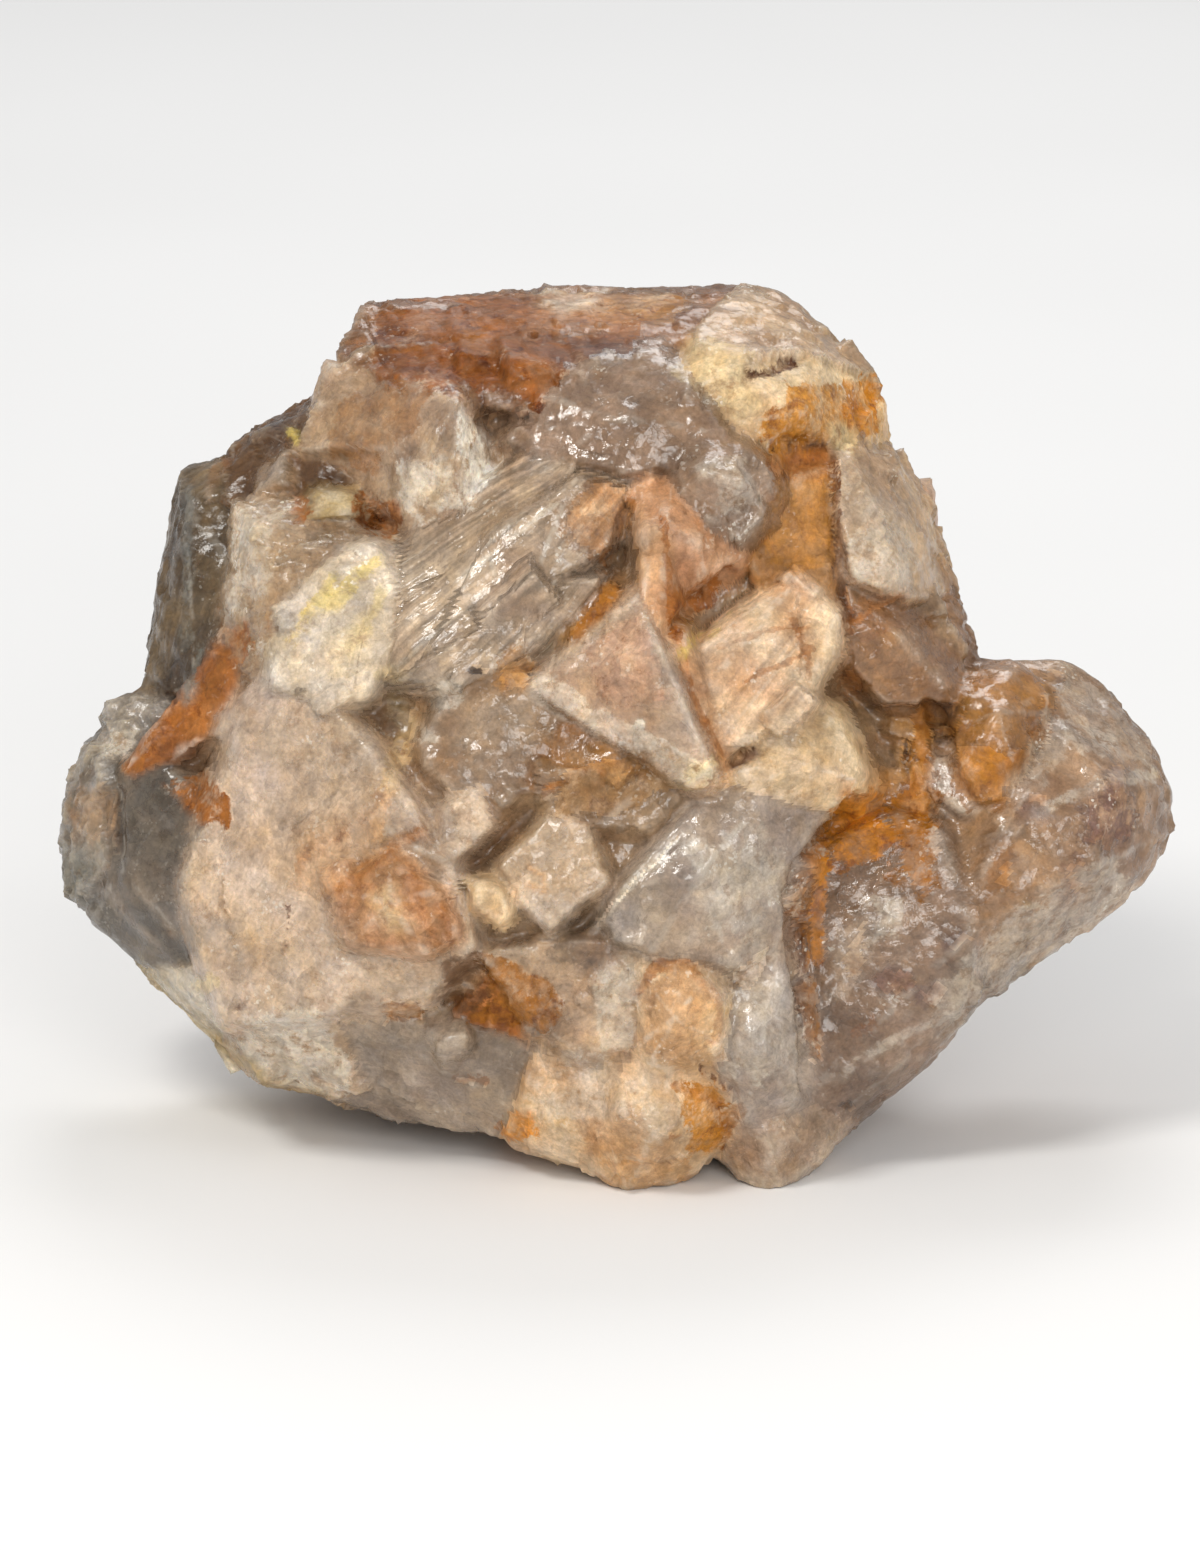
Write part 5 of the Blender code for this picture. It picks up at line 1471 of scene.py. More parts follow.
def linear(colour: np.ndarray) -> np.ndarray:
    """Turns display values into the linear values that shaders use."""
    shade = np.asarray(colour, dtype=float)
    return np.where(shade <= 0.04045, shade / 12.92, ((shade + 0.055) / 1.055) ** 2.4)


def display(stain: Stain) -> tuple[float, float, float, float]:
    """A stain's colour for a shader's socket."""
    return (*linear(stain.value), 1.0)


@dataclass
class Colouring:
    """Works out a colour and masks for every point of the skin."""

    skin: Skin
    blend_rounds: int = 2
    warmth: tuple = (1.03, 0.975, 0.92)
    colour: np.ndarray = field(default=None, repr=False)
    veil: np.ndarray = field(default=None, repr=False)
    rust: np.ndarray = field(default=None, repr=False)
    solid: np.ndarray = field(default=None, repr=False)
    stain: np.ndarray = field(default=None, repr=False)
    strength: np.ndarray = field(default=None, repr=False)
    shape: np.ndarray = field(default=None, repr=False)
    fray: np.ndarray = field(default=None, repr=False)
    dirt: np.ndarray = field(default=None, repr=False)
    spark: np.ndarray = field(default=None, repr=False)

    def blend(self, colour: tuple, share: np.ndarray) -> None:
        """Mixes a display colour in by a share at every point."""
        self.colour += share[:, None] * (linear(colour) - self.colour)

    def from_finishes(self) -> None:
        """Starts each crystal from its own tint and mottle, with a tone of its own for each face."""
        skin = self.skin
        finishes = [crystal.finish.value for crystal in skin.habit.crystals]
        warmth = np.array(self.warmth)
        tint = linear([finish.tint for finish in finishes])[skin.owner] * warmth
        mottle = linear([finish.mottle for finish in finishes])[skin.owner] * warmth
        share = ramp(Grain.fractal(skin.points, 3.2, 301, 4), -0.45, 0.45)
        self.colour = tint + share[:, None] * (mottle - tint)
        face = np.stack((skin.owner, skin.facet, np.zeros_like(skin.facet)), axis=1)
        self.colour *= (0.86 + 0.28 * Grain.chance(face, 311))[:, None]
        slope = Grain.smooth(1000.0 * skin.stream() * np.array((1.0, 1.0, 0.0)), 8.0, 315)
        self.colour *= (1.0 + 0.13 * slope)[:, None]
        self.colour *= 1.0 + Grain.fractal(skin.points, 7.0, 305, 3)[:, None] * np.array((0.05, -0.01, -0.16))
        for step in range(self.blend_rounds):
            self.colour = 0.4 * self.colour + 0.6 * skin.around(self.colour)
        self.veil = skin.by_crystal("cloud") * ramp(Grain.fractal(skin.points, 4.0, 321, 3), -0.5, 0.6)
        self.rust = skin.by_crystal("rust") * ramp(Grain.fractal(skin.points, 2.6, 331, 3), -0.1, 0.7)
        self.solid = np.zeros(len(skin.points))
        # Strength of the painted glints and edge highlights, more where the veil is thick.
        self.spark = 0.25 + 0.75 * ramp(self.veil, 0.2, 0.7)

    def from_marks(self) -> None:
        """Gathers the marks: the stain's colour, its strength, and how far inside its border each point is.

        A mark of strength s at a share f covers 1 - (1 - before) · (1 - s · f) of the stone, and the colours
        are weighed by what each covers.
        """
        skin = self.skin
        seen = skin.picture(skin.points)
        rough = np.stack([Grain.fractal(skin.points, 2.4, seed, 4) for seed in (341, 345)], axis=1)
        front = ramp(skin.points[:, 2], -14.0, -8.0)
        self.stain = self.colour.copy()
        covered = np.zeros(len(seen))
        self.shape = covered.copy()
        self.fray = covered.copy()
        for mark in MARKS:
            reach = mark.soft + 0.5
            places = np.array(mark.places)
            margin = reach + mark.width + 1.0
            near = ((seen > places.min(axis=0) - margin) & (seen < places.max(axis=0) + margin)).all(axis=1)
            near = np.flatnonzero(near & (front > 0.0))
            shake = min(0.35 + 0.9 * mark.soft, 0.3 + 0.5 * mark.width) if mark.width else 0.45 + 0.9 * mark.soft
            away = mark.away(seen[near] + shake * rough[near])
            blur = 0.7 * mark.soft + (0.1 if mark.width else 0.4)
            inside = front[near] * ramp(away, blur, -blur)
            share = mark.strength * inside
            left = covered[near] * (1.0 - share)
            mixed = (left[:, None] * self.stain[near] + share[:, None] * linear(mark.stain.value))
            self.stain[near] = np.where(share[:, None] > 0.0, mixed / np.maximum(left + share, 1e-6)[:, None],
                                        self.stain[near])
            covered[near] = left + share
            self.shape[near] = np.maximum(self.shape[near], inside)
            frayed = 1.0 if mark.stain in FRAYED else 0.6
            self.fray[near] = np.maximum(self.fray[near], frayed * ramp(inside, 0.0, 0.1))
            depth = {Stain.WHITE: 0.6, Stain.GREY: 0.1}.get(mark.stain, 0.85)
            self.solid[near] = np.maximum(self.solid[near], depth * share)
        self.strength = covered / np.maximum(self.shape, 0.05)
        self.veil *= 1.0 - 0.8 * covered

    def from_hollows(self) -> None:
        """Darkens creases and hollows with smoke or rust, partly iron stain and partly painted shade, and paints
        highlights on the raised edges.
        """
        skin = self.skin
        hollow = skin.hollow()
        patchy = ramp(Grain.fractal(skin.points, 3.5, 355, 3), -0.3, 0.4)
        filled = ramp(Grain.fractal(skin.points, 9.0, 357, 2), -0.35, 0.45)
        # Painted shade of the creases and hollows, mixed with the iron stain that gathers in them: stronger near a
        # crease and deeper in a hollow.
        self.dirt = 0.3 * patchy * ramp(skin.crease, 0.4, 0.0) + (0.15 + 0.75 * filled) * ramp(hollow, 0.3, 1.3)
        self.dirt = np.clip(self.dirt, 0.0, 1.0)
        rusty = ramp(Grain.fractal(skin.points, 6.0, 361, 2) + 0.8 * skin.by_crystal("rust"), -0.3, 0.2)
        tone = linear(Stain.SMOKE.value) + rusty[:, None] * (linear(Stain.RUST.value) - linear(Stain.SMOKE.value))
        # Mixes the painted shade and hollow stain into both colours.
        share = (0.55 * self.dirt)[:, None]
        self.colour += share * (tone - self.colour)
        self.stain += 0.5 * share * (tone - self.stain)
        # Painted highlight: raised edges and ridges are lightened towards white, less where a stain is thick.
        painted_edge_highlight = ramp(hollow, -0.08, -0.4) * (0.6 + 0.6 * Grain.fractal(skin.points, 1.3, 371, 2))
        self.blend(Stain.WHITE.value, 0.35 * np.clip(painted_edge_highlight, 0.0, 1.0) * (1.0 - 0.7 * self.solid))

    def even_steeps(self) -> None:
        """Evens the colours out along steep sides, where the points lie far apart."""
        steep = np.clip(1.3 * self.skin.steep, 0.0, 0.9)
        for step in range(6):
            for name in ("colour", "stain", "strength", "shape", "dirt"):
                values = getattr(self, name)
                share = steep.reshape(-1, *[1] * (values.ndim - 1))
                setattr(self, name, values + share * (self.skin.around(values) - values))

    def work_out(self) -> None:
        """Runs the steps in order."""
        self.from_finishes()
        self.from_marks()
        self.from_hollows()
        self.even_steeps()

    def store(self, mesh: bpy.types.Mesh) -> None:
        """Writes the colour and the masks to the mesh.

        Args:
            mesh: the skin's mesh.
        """
        skin = self.skin
        calm = ramp(np.minimum(skin.crease, skin.edge), 0.05, 0.55)
        streak = (0.12 + 4.5 * skin.by_crystal("ridges")) * calm
        tables = {
            "tint": self.colour,
            "stain": self.stain,
            "cover": (self.shape, self.strength, calm),
            "masks": (self.veil, self.rust, self.solid),
            # Masks of the painted shade with hollow stain, the strength of the painted glints, and the streaks.
            "stain_shade_glint_streak": (self.dirt, self.spark, streak),
            "brinks": (skin.edge / 3.0, skin.crease / 3.0, self.fray),
        }
        for name, table in tables.items():
            filled = np.column_stack((*np.transpose(table), np.ones(len(calm)))) if name in ("tint", "stain") else (
                np.column_stack((*table, np.ones(len(calm)))))
            layer = mesh.color_attributes.new(name, "FLOAT_COLOR", "POINT")
            layer.data.foreach_set("color", np.clip(filled, 0.0, 1.0).astype(np.float32).ravel())
        stream = mesh.attributes.new("stream", "FLOAT_VECTOR", "POINT")
        stream.data.foreach_set("vector", skin.stream().astype(np.float32).ravel())


class Wiring:
    """Small helpers to lay shader nodes out and join them."""

    def __init__(self, tree: bpy.types.NodeTree) -> None:
        """Keeps the tree that the nodes go into."""
        self.tree = tree

    def add(self, kind: str, **settings: object) -> bpy.types.Node:
        """Adds a node and sets its properties and inputs.

        Args:
            kind: the node's type name.
            settings: properties by name, and inputs by name with a leading capital letter, where a socket
                is joined and anything else is set as the value.

        Returns:
            The node.
        """
        node = self.tree.nodes.new(kind)
        for name, value in settings.items():
            if name[0].isupper():
                self.feed(node.inputs[name.replace("_", " ")], value)
            else:
                setattr(node, name, value)
        return node

    def feed(self, socket: bpy.types.NodeSocket, value: object) -> None:
        """Joins a socket to another one, or sets its value."""
        if isinstance(value, bpy.types.NodeSocket):
            self.tree.links.new(value, socket)
        else:
            socket.default_value = value

    def maths(self, operation: str, first: object, second: object = 0.0, third: object = 0.0,
              clamp: bool = False) -> bpy.types.NodeSocket:
        """One step of arithmetic.

        Args:
            operation: the Math node's operation.
            first: value or socket.
            second: value or socket.
            third: value or socket.
            clamp: whether the result is held from 0 to 1.

        Returns:
            The result's socket.
        """
        node = self.add("ShaderNodeMath", operation=operation, use_clamp=clamp)
        for socket, value in zip(node.inputs, (first, second, third)):
            self.feed(socket, value)
        return node.outputs[0]

    def mix(self, share: object, first: object, second: object, blend: str = "MIX") -> bpy.types.NodeSocket:
        """Mixes two colours.

        Args:
            share: how much of the second.
            first: colour or socket.
            second: colour or socket.
            blend: the blend mode.

        Returns:
            The mixed colour's socket.
        """
        node = self.add("ShaderNodeMix", data_type="RGBA", blend_type=blend, clamp_factor=True)
        self.feed(node.inputs[0], share)
        self.feed(node.inputs[6], first)
        self.feed(node.inputs[7], second)
        return node.outputs[2]

    def span(self, value: object, low: float, high: float, to_low: float = 0.0, to_high: float = 1.0,
             smooth: bool = True) -> bpy.types.NodeSocket:
        """Maps a value from one range to another and holds it there.

        Args:
            value: the socket that is mapped.
            low: start of its range.
            high: end of its range.
            to_low: what low becomes.
            to_high: what high becomes.
            smooth: whether it eases in and out.

        Returns:
            The result's socket.
        """
        node = self.add("ShaderNodeMapRange", interpolation_type="SMOOTHSTEP" if smooth else "LINEAR")
        for socket, given in zip(node.inputs, (value, low, high, to_low, to_high)):
            self.feed(socket, given)
        return node.outputs[0]

    def noise(self, place: object, scale: float, detail: float = 3.0, rough: float = 0.6,
              distortion: float = 0.0) -> bpy.types.NodeSocket:
        """Fractal noise at a place.

        Args:
            place: the coordinate's socket.
            scale: cells in a metre.
            detail: octaves.
            rough: share that each octave keeps.
            distortion: how far it bends itself.

        Returns:
            The value's socket.
        """
        node = self.add("ShaderNodeTexNoise", Vector=place, Scale=scale, Detail=detail, Roughness=rough,
                        Distortion=distortion)
        return node.outputs["Fac"]

    def bend(self, place: object, scale: float, reach: float) -> bpy.types.NodeSocket:
        """Shifts a place by noise of its own.

        Args:
            place: the coordinate's socket.
            scale: cells of the noise in a metre.
            reach: the widest shift, in metres.

        Returns:
            The shifted place's socket.
        """
        shift = self.add("ShaderNodeTexNoise", Vector=place, Scale=scale, Detail=2.0).outputs["Color"]
        centred = self.add("ShaderNodeVectorMath", operation="SUBTRACT")
        self.feed(centred.inputs[0], shift)
        self.feed(centred.inputs[1], (0.5, 0.5, 0.5))
        moved = self.add("ShaderNodeVectorMath", operation="MULTIPLY_ADD")
        for socket, value in zip(moved.inputs, (centred.outputs[0], (reach, reach, reach), place)):
            self.feed(socket, value)
        return moved.outputs[0]

    def stretch(self, place: object, along: float) -> bpy.types.NodeSocket:
        """Draws a place's pattern out along its first axis."""
        return self.add("ShaderNodeMapping", vector_type="POINT", Vector=place, Scale=(along, 1.0, 1.0)).outputs[0]

    def cells(self, place: object, scale: float) -> bpy.types.NodeSocket:
        """Three values of its own for each cell round a place."""
        cell = self.add("ShaderNodeTexVoronoi", Vector=place, Scale=scale).outputs["Color"]
        return self.add("ShaderNodeSeparateColor", Color=cell).outputs

    def chips(self, place: object, scale: float) -> bpy.types.NodeSocket:
        """Height of flat chips, each the way from its cell's centre times a tilt of its own.

        Args:
            place: the coordinate's socket.
            scale: cells in a metre.

        Returns:
            The height's socket, of about -0.5 to 0.5.
        """
        cell = self.add("ShaderNodeTexVoronoi", Vector=place, Scale=scale)
        way = self.add("ShaderNodeVectorMath", operation="SUBTRACT")
        self.feed(way.inputs[0], place)
        self.feed(way.inputs[1], cell.outputs["Position"])
        tilt = self.add("ShaderNodeVectorMath", operation="SUBTRACT")
        self.feed(tilt.inputs[0], cell.outputs["Color"])
        self.feed(tilt.inputs[1], (0.5, 0.5, 0.5))
        slope = self.add("ShaderNodeVectorMath", operation="DOT_PRODUCT")
        self.feed(slope.inputs[0], way.outputs[0])
        self.feed(slope.inputs[1], tilt.outputs[0])
        return self.maths("MULTIPLY", slope.outputs["Value"], scale)


class NodeGroup:
    """A shader node group with named inputs and outputs, built once."""

    name = "group"
    inputs: tuple = ()
    outputs: tuple = ()

    def __init__(self) -> None:
        """Makes the group, its sockets and its nodes."""
        self.tree = bpy.data.node_groups.new(self.name, "ShaderNodeTree")
        for title, kind, value in self.inputs:
            socket = self.tree.interface.new_socket(title, in_out="INPUT", socket_type=kind)
            if value is not None:
                socket.default_value = value
        for title, kind in self.outputs:
            self.tree.interface.new_socket(title, in_out="OUTPUT", socket_type=kind)
        self.wiring = Wiring(self.tree)
        self.entry = self.tree.nodes.new("NodeGroupInput").outputs
        self.exit = self.tree.nodes.new("NodeGroupOutput").inputs
        self.wire()

    def wire(self) -> None:
        """Lays out the nodes inside the group."""
        raise NotImplementedError

    def use(self, wiring: Wiring, **settings: object) -> bpy.types.Node:
        """Places the group in another tree.

        Args:
            wiring: the other tree.
            settings: its inputs, by name.

        Returns:
            The node that holds the group.
        """
        return wiring.add("ShaderNodeGroup", node_tree=self.tree, **settings)


class StoneTone(NodeGroup):
    """Fine variation of the stone's colour: facets, striations, veils, stains, rust, painted shade, painted glints and
    painted edge highlights.
    """

    name = "stone_tone"
    inputs = (
        ("Place", "NodeSocketVector", None),
        ("Drawn", "NodeSocketVector", None),
        ("Colour", "NodeSocketColor", None),
        ("Stain", "NodeSocketColor", None),
        ("Shape", "NodeSocketFloat", 0.0),
        ("Strength", "NodeSocketFloat", 0.0),
        ("Fray", "NodeSocketFloat", 0.0),
        ("Calm", "NodeSocketFloat", 1.0),
        ("Veil", "NodeSocketFloat", 0.5),
        ("Rust", "NodeSocketFloat", 0.2),
        ("Dirt", "NodeSocketFloat", 0.0),
        ("Spark", "NodeSocketFloat", 0.5),
        ("Streak", "NodeSocketFloat", 0.3),
        ("Edge", "NodeSocketFloat", 1.0),
        ("Seam", "NodeSocketFloat", 1.0),
    )
    outputs = (("Colour", "NodeSocketColor"), ("Cover", "NodeSocketFloat"))

    def lines(self, bent: bpy.types.NodeSocket) -> bpy.types.NodeSocket:
        """Fine straight lines, in a direction of their own in each small area of a face."""
        wiring = self.wiring
        turn = wiring.add("ShaderNodeVectorRotate", rotation_type="Z_AXIS", Vector=self.entry["Drawn"])
        wiring.feed(turn.inputs["Angle"], wiring.maths("MULTIPLY", wiring.cells(bent, 210.0)[1], math.tau))
        return wiring.noise(wiring.stretch(turn.outputs[0], 0.05), 2400.0, 2.0, 0.5)

    def light(self, bent: bpy.types.NodeSocket, lines: bpy.types.NodeSocket) -> bpy.types.NodeSocket:
        """How light and warm each spot is: blotches, facets, grain, streaks and lines.

        Args:
            bent: slightly shifted places.
            lines: fine lines with a direction of their own in each facet.

        Returns:
            The socket of the factors of red, green and blue.
        """
        wiring, entry = self.wiring, self.entry
        blotch = wiring.add("ShaderNodeTexNoise", Vector=bent, Scale=340.0, Detail=6.0, Roughness=0.72)
        light = wiring.span(blotch.outputs["Fac"], 0.3, 0.7, 0.80, 1.20, False)
        for scale, depth in ((120.0, 0.26), (310.0, 0.30), (860.0, 0.22)):
            shade = wiring.maths("MULTIPLY_ADD", wiring.chips(bent, scale), depth, 1.0)
            light = wiring.maths("MULTIPLY", light, shade)
        for scale, depth in ((1200.0, 0.12), (3000.0, 0.14)):
            grain = wiring.span(wiring.noise(bent, scale, 3.0, 0.7), 0.35, 0.65, 1.0 - depth, 1.0 + depth, False)
            light = wiring.maths("MULTIPLY", light, grain)
        for along, scale, depth in ((0.03, 1100.0, 0.34), (0.06, 3000.0, 0.16)):
            streak = wiring.noise(wiring.stretch(entry["Drawn"], along), scale, 1.0, 0.5)
            streak = wiring.span(streak, 0.35, 0.65, -depth, depth, False)
            light = wiring.maths("MULTIPLY", light, wiring.maths("MULTIPLY_ADD", streak, entry["Streak"], 1.0))
        light = wiring.maths("MULTIPLY", light, wiring.span(lines, 0.35, 0.65, 0.95, 1.05, False))
        drift = wiring.add("ShaderNodeSeparateColor", Color=blotch.outputs["Color"]).outputs["Blue"]
        hue = wiring.add("ShaderNodeMapRange", data_type="FLOAT_VECTOR", Vector=drift)
        for name, value in (("From_Min_FLOAT3", (0.3, 0.3, 0.3)), ("From_Max_FLOAT3", (0.7, 0.7, 0.7)),
                            ("To_Min_FLOAT3", (1.10, 0.965, 0.66)), ("To_Max_FLOAT3", (0.90, 1.03, 1.32))):
            wiring.feed(next(socket for socket in hue.inputs if socket.identifier == name), value)
        warmed = wiring.maths("MULTIPLY_ADD", entry["Rust"], 1.8, 0.35, clamp=True)
        hue = wiring.mix(warmed, (1.0, 1.0, 1.0, 1.0), hue.outputs["Vector"])
        factors = wiring.add("ShaderNodeVectorMath", operation="SCALE", Vector=hue, Scale=light)
        return factors.outputs[0]

    def veil(self, bent: bpy.types.NodeSocket, lines: bpy.types.NodeSocket) -> bpy.types.NodeSocket:
        """How white each spot is: a grainy cloud, thin lines in it, and long streaks on striated faces."""
        wiring, entry = self.wiring, self.entry
        cloud = wiring.span(wiring.noise(entry["Place"], 150.0, 3.0), 0.40, 0.66)
        soft = wiring.maths("MULTIPLY", wiring.span(wiring.noise(bent, 620.0, 5.0, 0.72), 0.44, 0.74), 0.8)
        thin = wiring.maths("MULTIPLY", wiring.span(lines, 0.58, 0.76, 0.0, 0.6), entry["Calm"])
        long = wiring.span(wiring.noise(wiring.stretch(entry["Drawn"], 0.015), 1000.0, 1.0, 0.4), 0.62, 0.70)
        veil = wiring.maths("MULTIPLY", wiring.maths("MAXIMUM", soft, thin), cloud)
        veil = wiring.maths("MAXIMUM", veil, wiring.maths("MULTIPLY", long, entry["Streak"]))
        return wiring.maths("MULTIPLY", veil, wiring.maths("MULTIPLY_ADD", entry["Veil"], 1.1, 0.08), clamp=True)

    def wire(self) -> None:
        """Changes the light of the colour, then lays veils, stains, rust, dark lines with the painted shade and stain
        of the hollows, and painted glints and edge highlights over it.
        """
        wiring, entry = self.wiring, self.entry
        place = entry["Place"]
        bent = wiring.bend(place, 420.0, 0.0008)
        lines = self.lines(bent)
        light = self.light(bent, lines)
        veil = self.veil(bent, lines)
        colour = wiring.mix(wiring.maths("MULTIPLY", veil, 0.62), entry["Colour"], display(Stain.WHITE))

        frayed = wiring.maths("MULTIPLY_ADD", wiring.noise(bent, 620.0, 6.0, 0.72), 2.8, -1.4)
        window = wiring.maths("MULTIPLY", wiring.maths("SUBTRACT", 1.12, entry["Shape"]), entry["Shape"])
        frayed = wiring.maths("MULTIPLY", frayed, wiring.maths("MULTIPLY", window, 3.6))
        crisp = wiring.span(wiring.maths("ADD", entry["Shape"], frayed), 0.36, 0.64)
        crisp = wiring.maths("MULTIPLY", crisp, wiring.span(entry["Shape"], 0.02, 0.15))
        inside = wiring.add("ShaderNodeMix", data_type="FLOAT")
        wiring.feed(inside.inputs[0], entry["Fray"])
        wiring.feed(inside.inputs[2], entry["Shape"])
        wiring.feed(inside.inputs[3], crisp)
        inside = inside.outputs[0]
        stained = wiring.maths("MULTIPLY", inside, entry["Strength"])
        worn = wiring.span(wiring.noise(bent, 430.0, 6.0, 0.74), 0.36, 0.56, 0.40, 1.0)
        stained = wiring.maths("MULTIPLY", stained, worn)
        deep = wiring.mix(1.0, entry["Stain"], (0.50, 0.38, 0.28, 1.0), "MULTIPLY")
        deep = wiring.mix(wiring.span(wiring.noise(place, 520.0, 6.0, 0.74), 0.50, 0.64), entry["Stain"], deep)
        colour = wiring.mix(stained, colour, deep)
        colour = wiring.mix(1.0, colour, light, "MULTIPLY")

        speck = wiring.span(wiring.noise(bent, 800.0, 4.0, 0.7), 0.56, 0.66)
        speck = wiring.maths("MULTIPLY", speck, wiring.span(wiring.noise(place, 130.0, 2.0), 0.42, 0.62))
        seam = wiring.maths("MULTIPLY", wiring.span(entry["Seam"], 0.16, 0.02),
                            wiring.span(wiring.noise(place, 230.0, 3.0), 0.40, 0.55))
        rusty = wiring.maths("MULTIPLY", wiring.maths("MAXIMUM", speck, seam),
                             wiring.maths("MULTIPLY", entry["Rust"], 1.6, clamp=True))
        colour = wiring.mix(rusty, colour, display(Stain.RUST))
        blot = wiring.noise(wiring.stretch(entry["Drawn"], 0.4), 380.0, 5.0, 0.7)
        blot = wiring.maths("MULTIPLY", wiring.span(blot, 0.53, 0.61), wiring.span(entry["Rust"], 0.1, 0.6, 0.0, 0.6))
        colour = wiring.mix(blot, colour, display(Stain.DEEP_RUST))
        dark = wiring.maths("MULTIPLY", wiring.span(lines, 0.38, 0.30), wiring.span(wiring.noise(place, 210.0), 0.5, 0.6))
        dark = wiring.maths("MULTIPLY", dark, wiring.maths("MULTIPLY", entry["Calm"], 0.4))
        # Painted shade, mixed with the iron stain of the hollows, is laid on with the dark lines.
        dark = wiring.maths("MAXIMUM", dark, wiring.maths("MULTIPLY", entry["Dirt"], 0.7))
        dark = wiring.maths("MULTIPLY", dark, wiring.span(wiring.noise(place, 1300.0, 3.0, 0.7), 0.36, 0.60))
        colour = wiring.mix(dark, colour, display(Stain.SMOKY_BROWN))

        # Painted glints: small near-white cells, in patches, stronger on veiled crystals.
        painted_glint = wiring.span(wiring.cells(place, 4200.0)[0], 0.84, 0.90)
        painted_glint = wiring.maths("MULTIPLY", painted_glint, wiring.span(wiring.noise(place, 300.0, 4.0, 0.65), 0.54, 0.64))
        # Painted highlights along the edges of the faces.
        rim = wiring.maths("MULTIPLY", wiring.span(entry["Edge"], 0.06, 0.01),
                           wiring.span(wiring.noise(place, 500.0, 2.0), 0.44, 0.58, 0.0, 0.5))
        painted_glint = wiring.maths("MAXIMUM", wiring.maths("MULTIPLY", painted_glint, entry["Spark"]),
                             wiring.maths("MULTIPLY", rim, wiring.maths("MULTIPLY_ADD", entry["Spark"], 0.6, 0.3)))
        colour = wiring.mix(wiring.maths("MULTIPLY", painted_glint, 0.7), colour, display(Stain.BRIGHT))
        wiring.feed(self.exit["Colour"], colour)
        wiring.feed(self.exit["Cover"], wiring.maths("MAXIMUM", wiring.maths("MAXIMUM", veil, rusty), dark))


class FractureRelief(NodeGroup):
    """Height of the fine fracture texture: small tilted chips, streaks along the crystal, and grain."""

    name = "fracture_relief"
    inputs = (
        ("Place", "NodeSocketVector", None),
        ("Drawn", "NodeSocketVector", None),
        ("Streak", "NodeSocketFloat", 0.3),
    )
    outputs = (("Height", "NodeSocketFloat"),)

    def wire(self) -> None:
        """Adds two sizes of chips, streaks and grain, in millimetres."""
        wiring, entry = self.wiring, self.entry
        place = entry["Place"]
        bent = wiring.bend(place, 420.0, 0.0008)
        height = wiring.maths("MULTIPLY", wiring.noise(place, 2600.0, 2.0, 0.6), 0.04)
        for scale, lift in ((310.0, 0.50), (860.0, 0.24)):
            height = wiring.maths("MULTIPLY_ADD", wiring.chips(bent, scale), lift, height)
        streak = wiring.noise(wiring.stretch(entry["Drawn"], 0.04), 1500.0, 2.0, 0.5)
        streak = wiring.maths("MULTIPLY", streak, entry["Streak"])
        wiring.feed(self.exit["Height"], wiring.maths("MULTIPLY_ADD", streak, 0.14, height))


@dataclass(frozen=True)
class Glass:
    """One of the three glassy finishes."""

    name: str
    through: float
    roughness: float
    bump: float
    under: float
    gloss: float

    def material(self, tone: StoneTone, relief: FractureRelief) -> bpy.types.Material:
        """Builds the material.

        Args:
            tone: the group that varies the colour.
            relief: the group that makes the fine height.

        Returns:
            The material.
        """
        made = bpy.data.materials.new(self.name)
        made.use_nodes = True
        wiring = Wiring(made.node_tree)
        shader = made.node_tree.nodes["Principled BSDF"]
        shader.inputs["IOR"].default_value = 1.544
        shader.inputs["Transmission Weight"].default_value = self.through
        if self.under:
            shader.inputs["Subsurface Weight"].default_value = self.under
            shader.inputs["Subsurface Radius"].default_value = (1.0, 0.7, 0.4)
            shader.inputs["Subsurface Scale"].default_value = 0.0015
        shader.inputs["Specular IOR Level"].default_value = self.gloss
        place = wiring.add("ShaderNodeTexCoord").outputs["Object"]
        drawn = wiring.add("ShaderNodeAttribute", attribute_name="stream").outputs["Vector"]
        tint, stain, cover, masks, stain_shade_glint_streak, brinks = (
            wiring.add("ShaderNodeAttribute", attribute_name=name).outputs["Color"]
            for name in ("tint", "stain", "cover", "masks", "stain_shade_glint_streak", "brinks")
        )
        shape, strength, calm = wiring.add("ShaderNodeSeparateColor", Color=cover).outputs
        edge, seam, fray = wiring.add("ShaderNodeSeparateColor", Color=brinks).outputs
        veil, rust, solid = wiring.add("ShaderNodeSeparateColor", Color=masks).outputs
        # Painted shade with hollow stain, the strength of the painted glints, and streaks.
        dirt, spark, streak = wiring.add("ShaderNodeSeparateColor", Color=stain_shade_glint_streak).outputs
        toned = tone.use(wiring, Place=place, Drawn=drawn, Colour=tint, Stain=stain, Shape=shape,
                         Strength=strength, Fray=fray, Calm=calm, Veil=veil, Rust=rust, Dirt=dirt, Spark=spark,
                         Streak=streak, Edge=edge, Seam=seam).outputs
        rough = wiring.maths("MULTIPLY_ADD", wiring.noise(place, 380.0, 3.0, 0.6), 0.30, self.roughness - 0.12)
        rough = wiring.maths("MULTIPLY_ADD", toned["Cover"], 0.25, rough)
        rough = wiring.maths("MULTIPLY_ADD", solid, 0.12, rough, clamp=True)
        wiring.feed(shader.inputs["Base Color"], toned["Colour"])
        wiring.feed(shader.inputs["Roughness"], rough)
        height = relief.use(wiring, Place=place, Drawn=drawn, Streak=streak).outputs["Height"]
        bump = wiring.add("ShaderNodeBump", Height=height, Strength=self.bump, Distance=0.001)
        wiring.feed(shader.inputs["Normal"], bump.outputs[0])
        return made


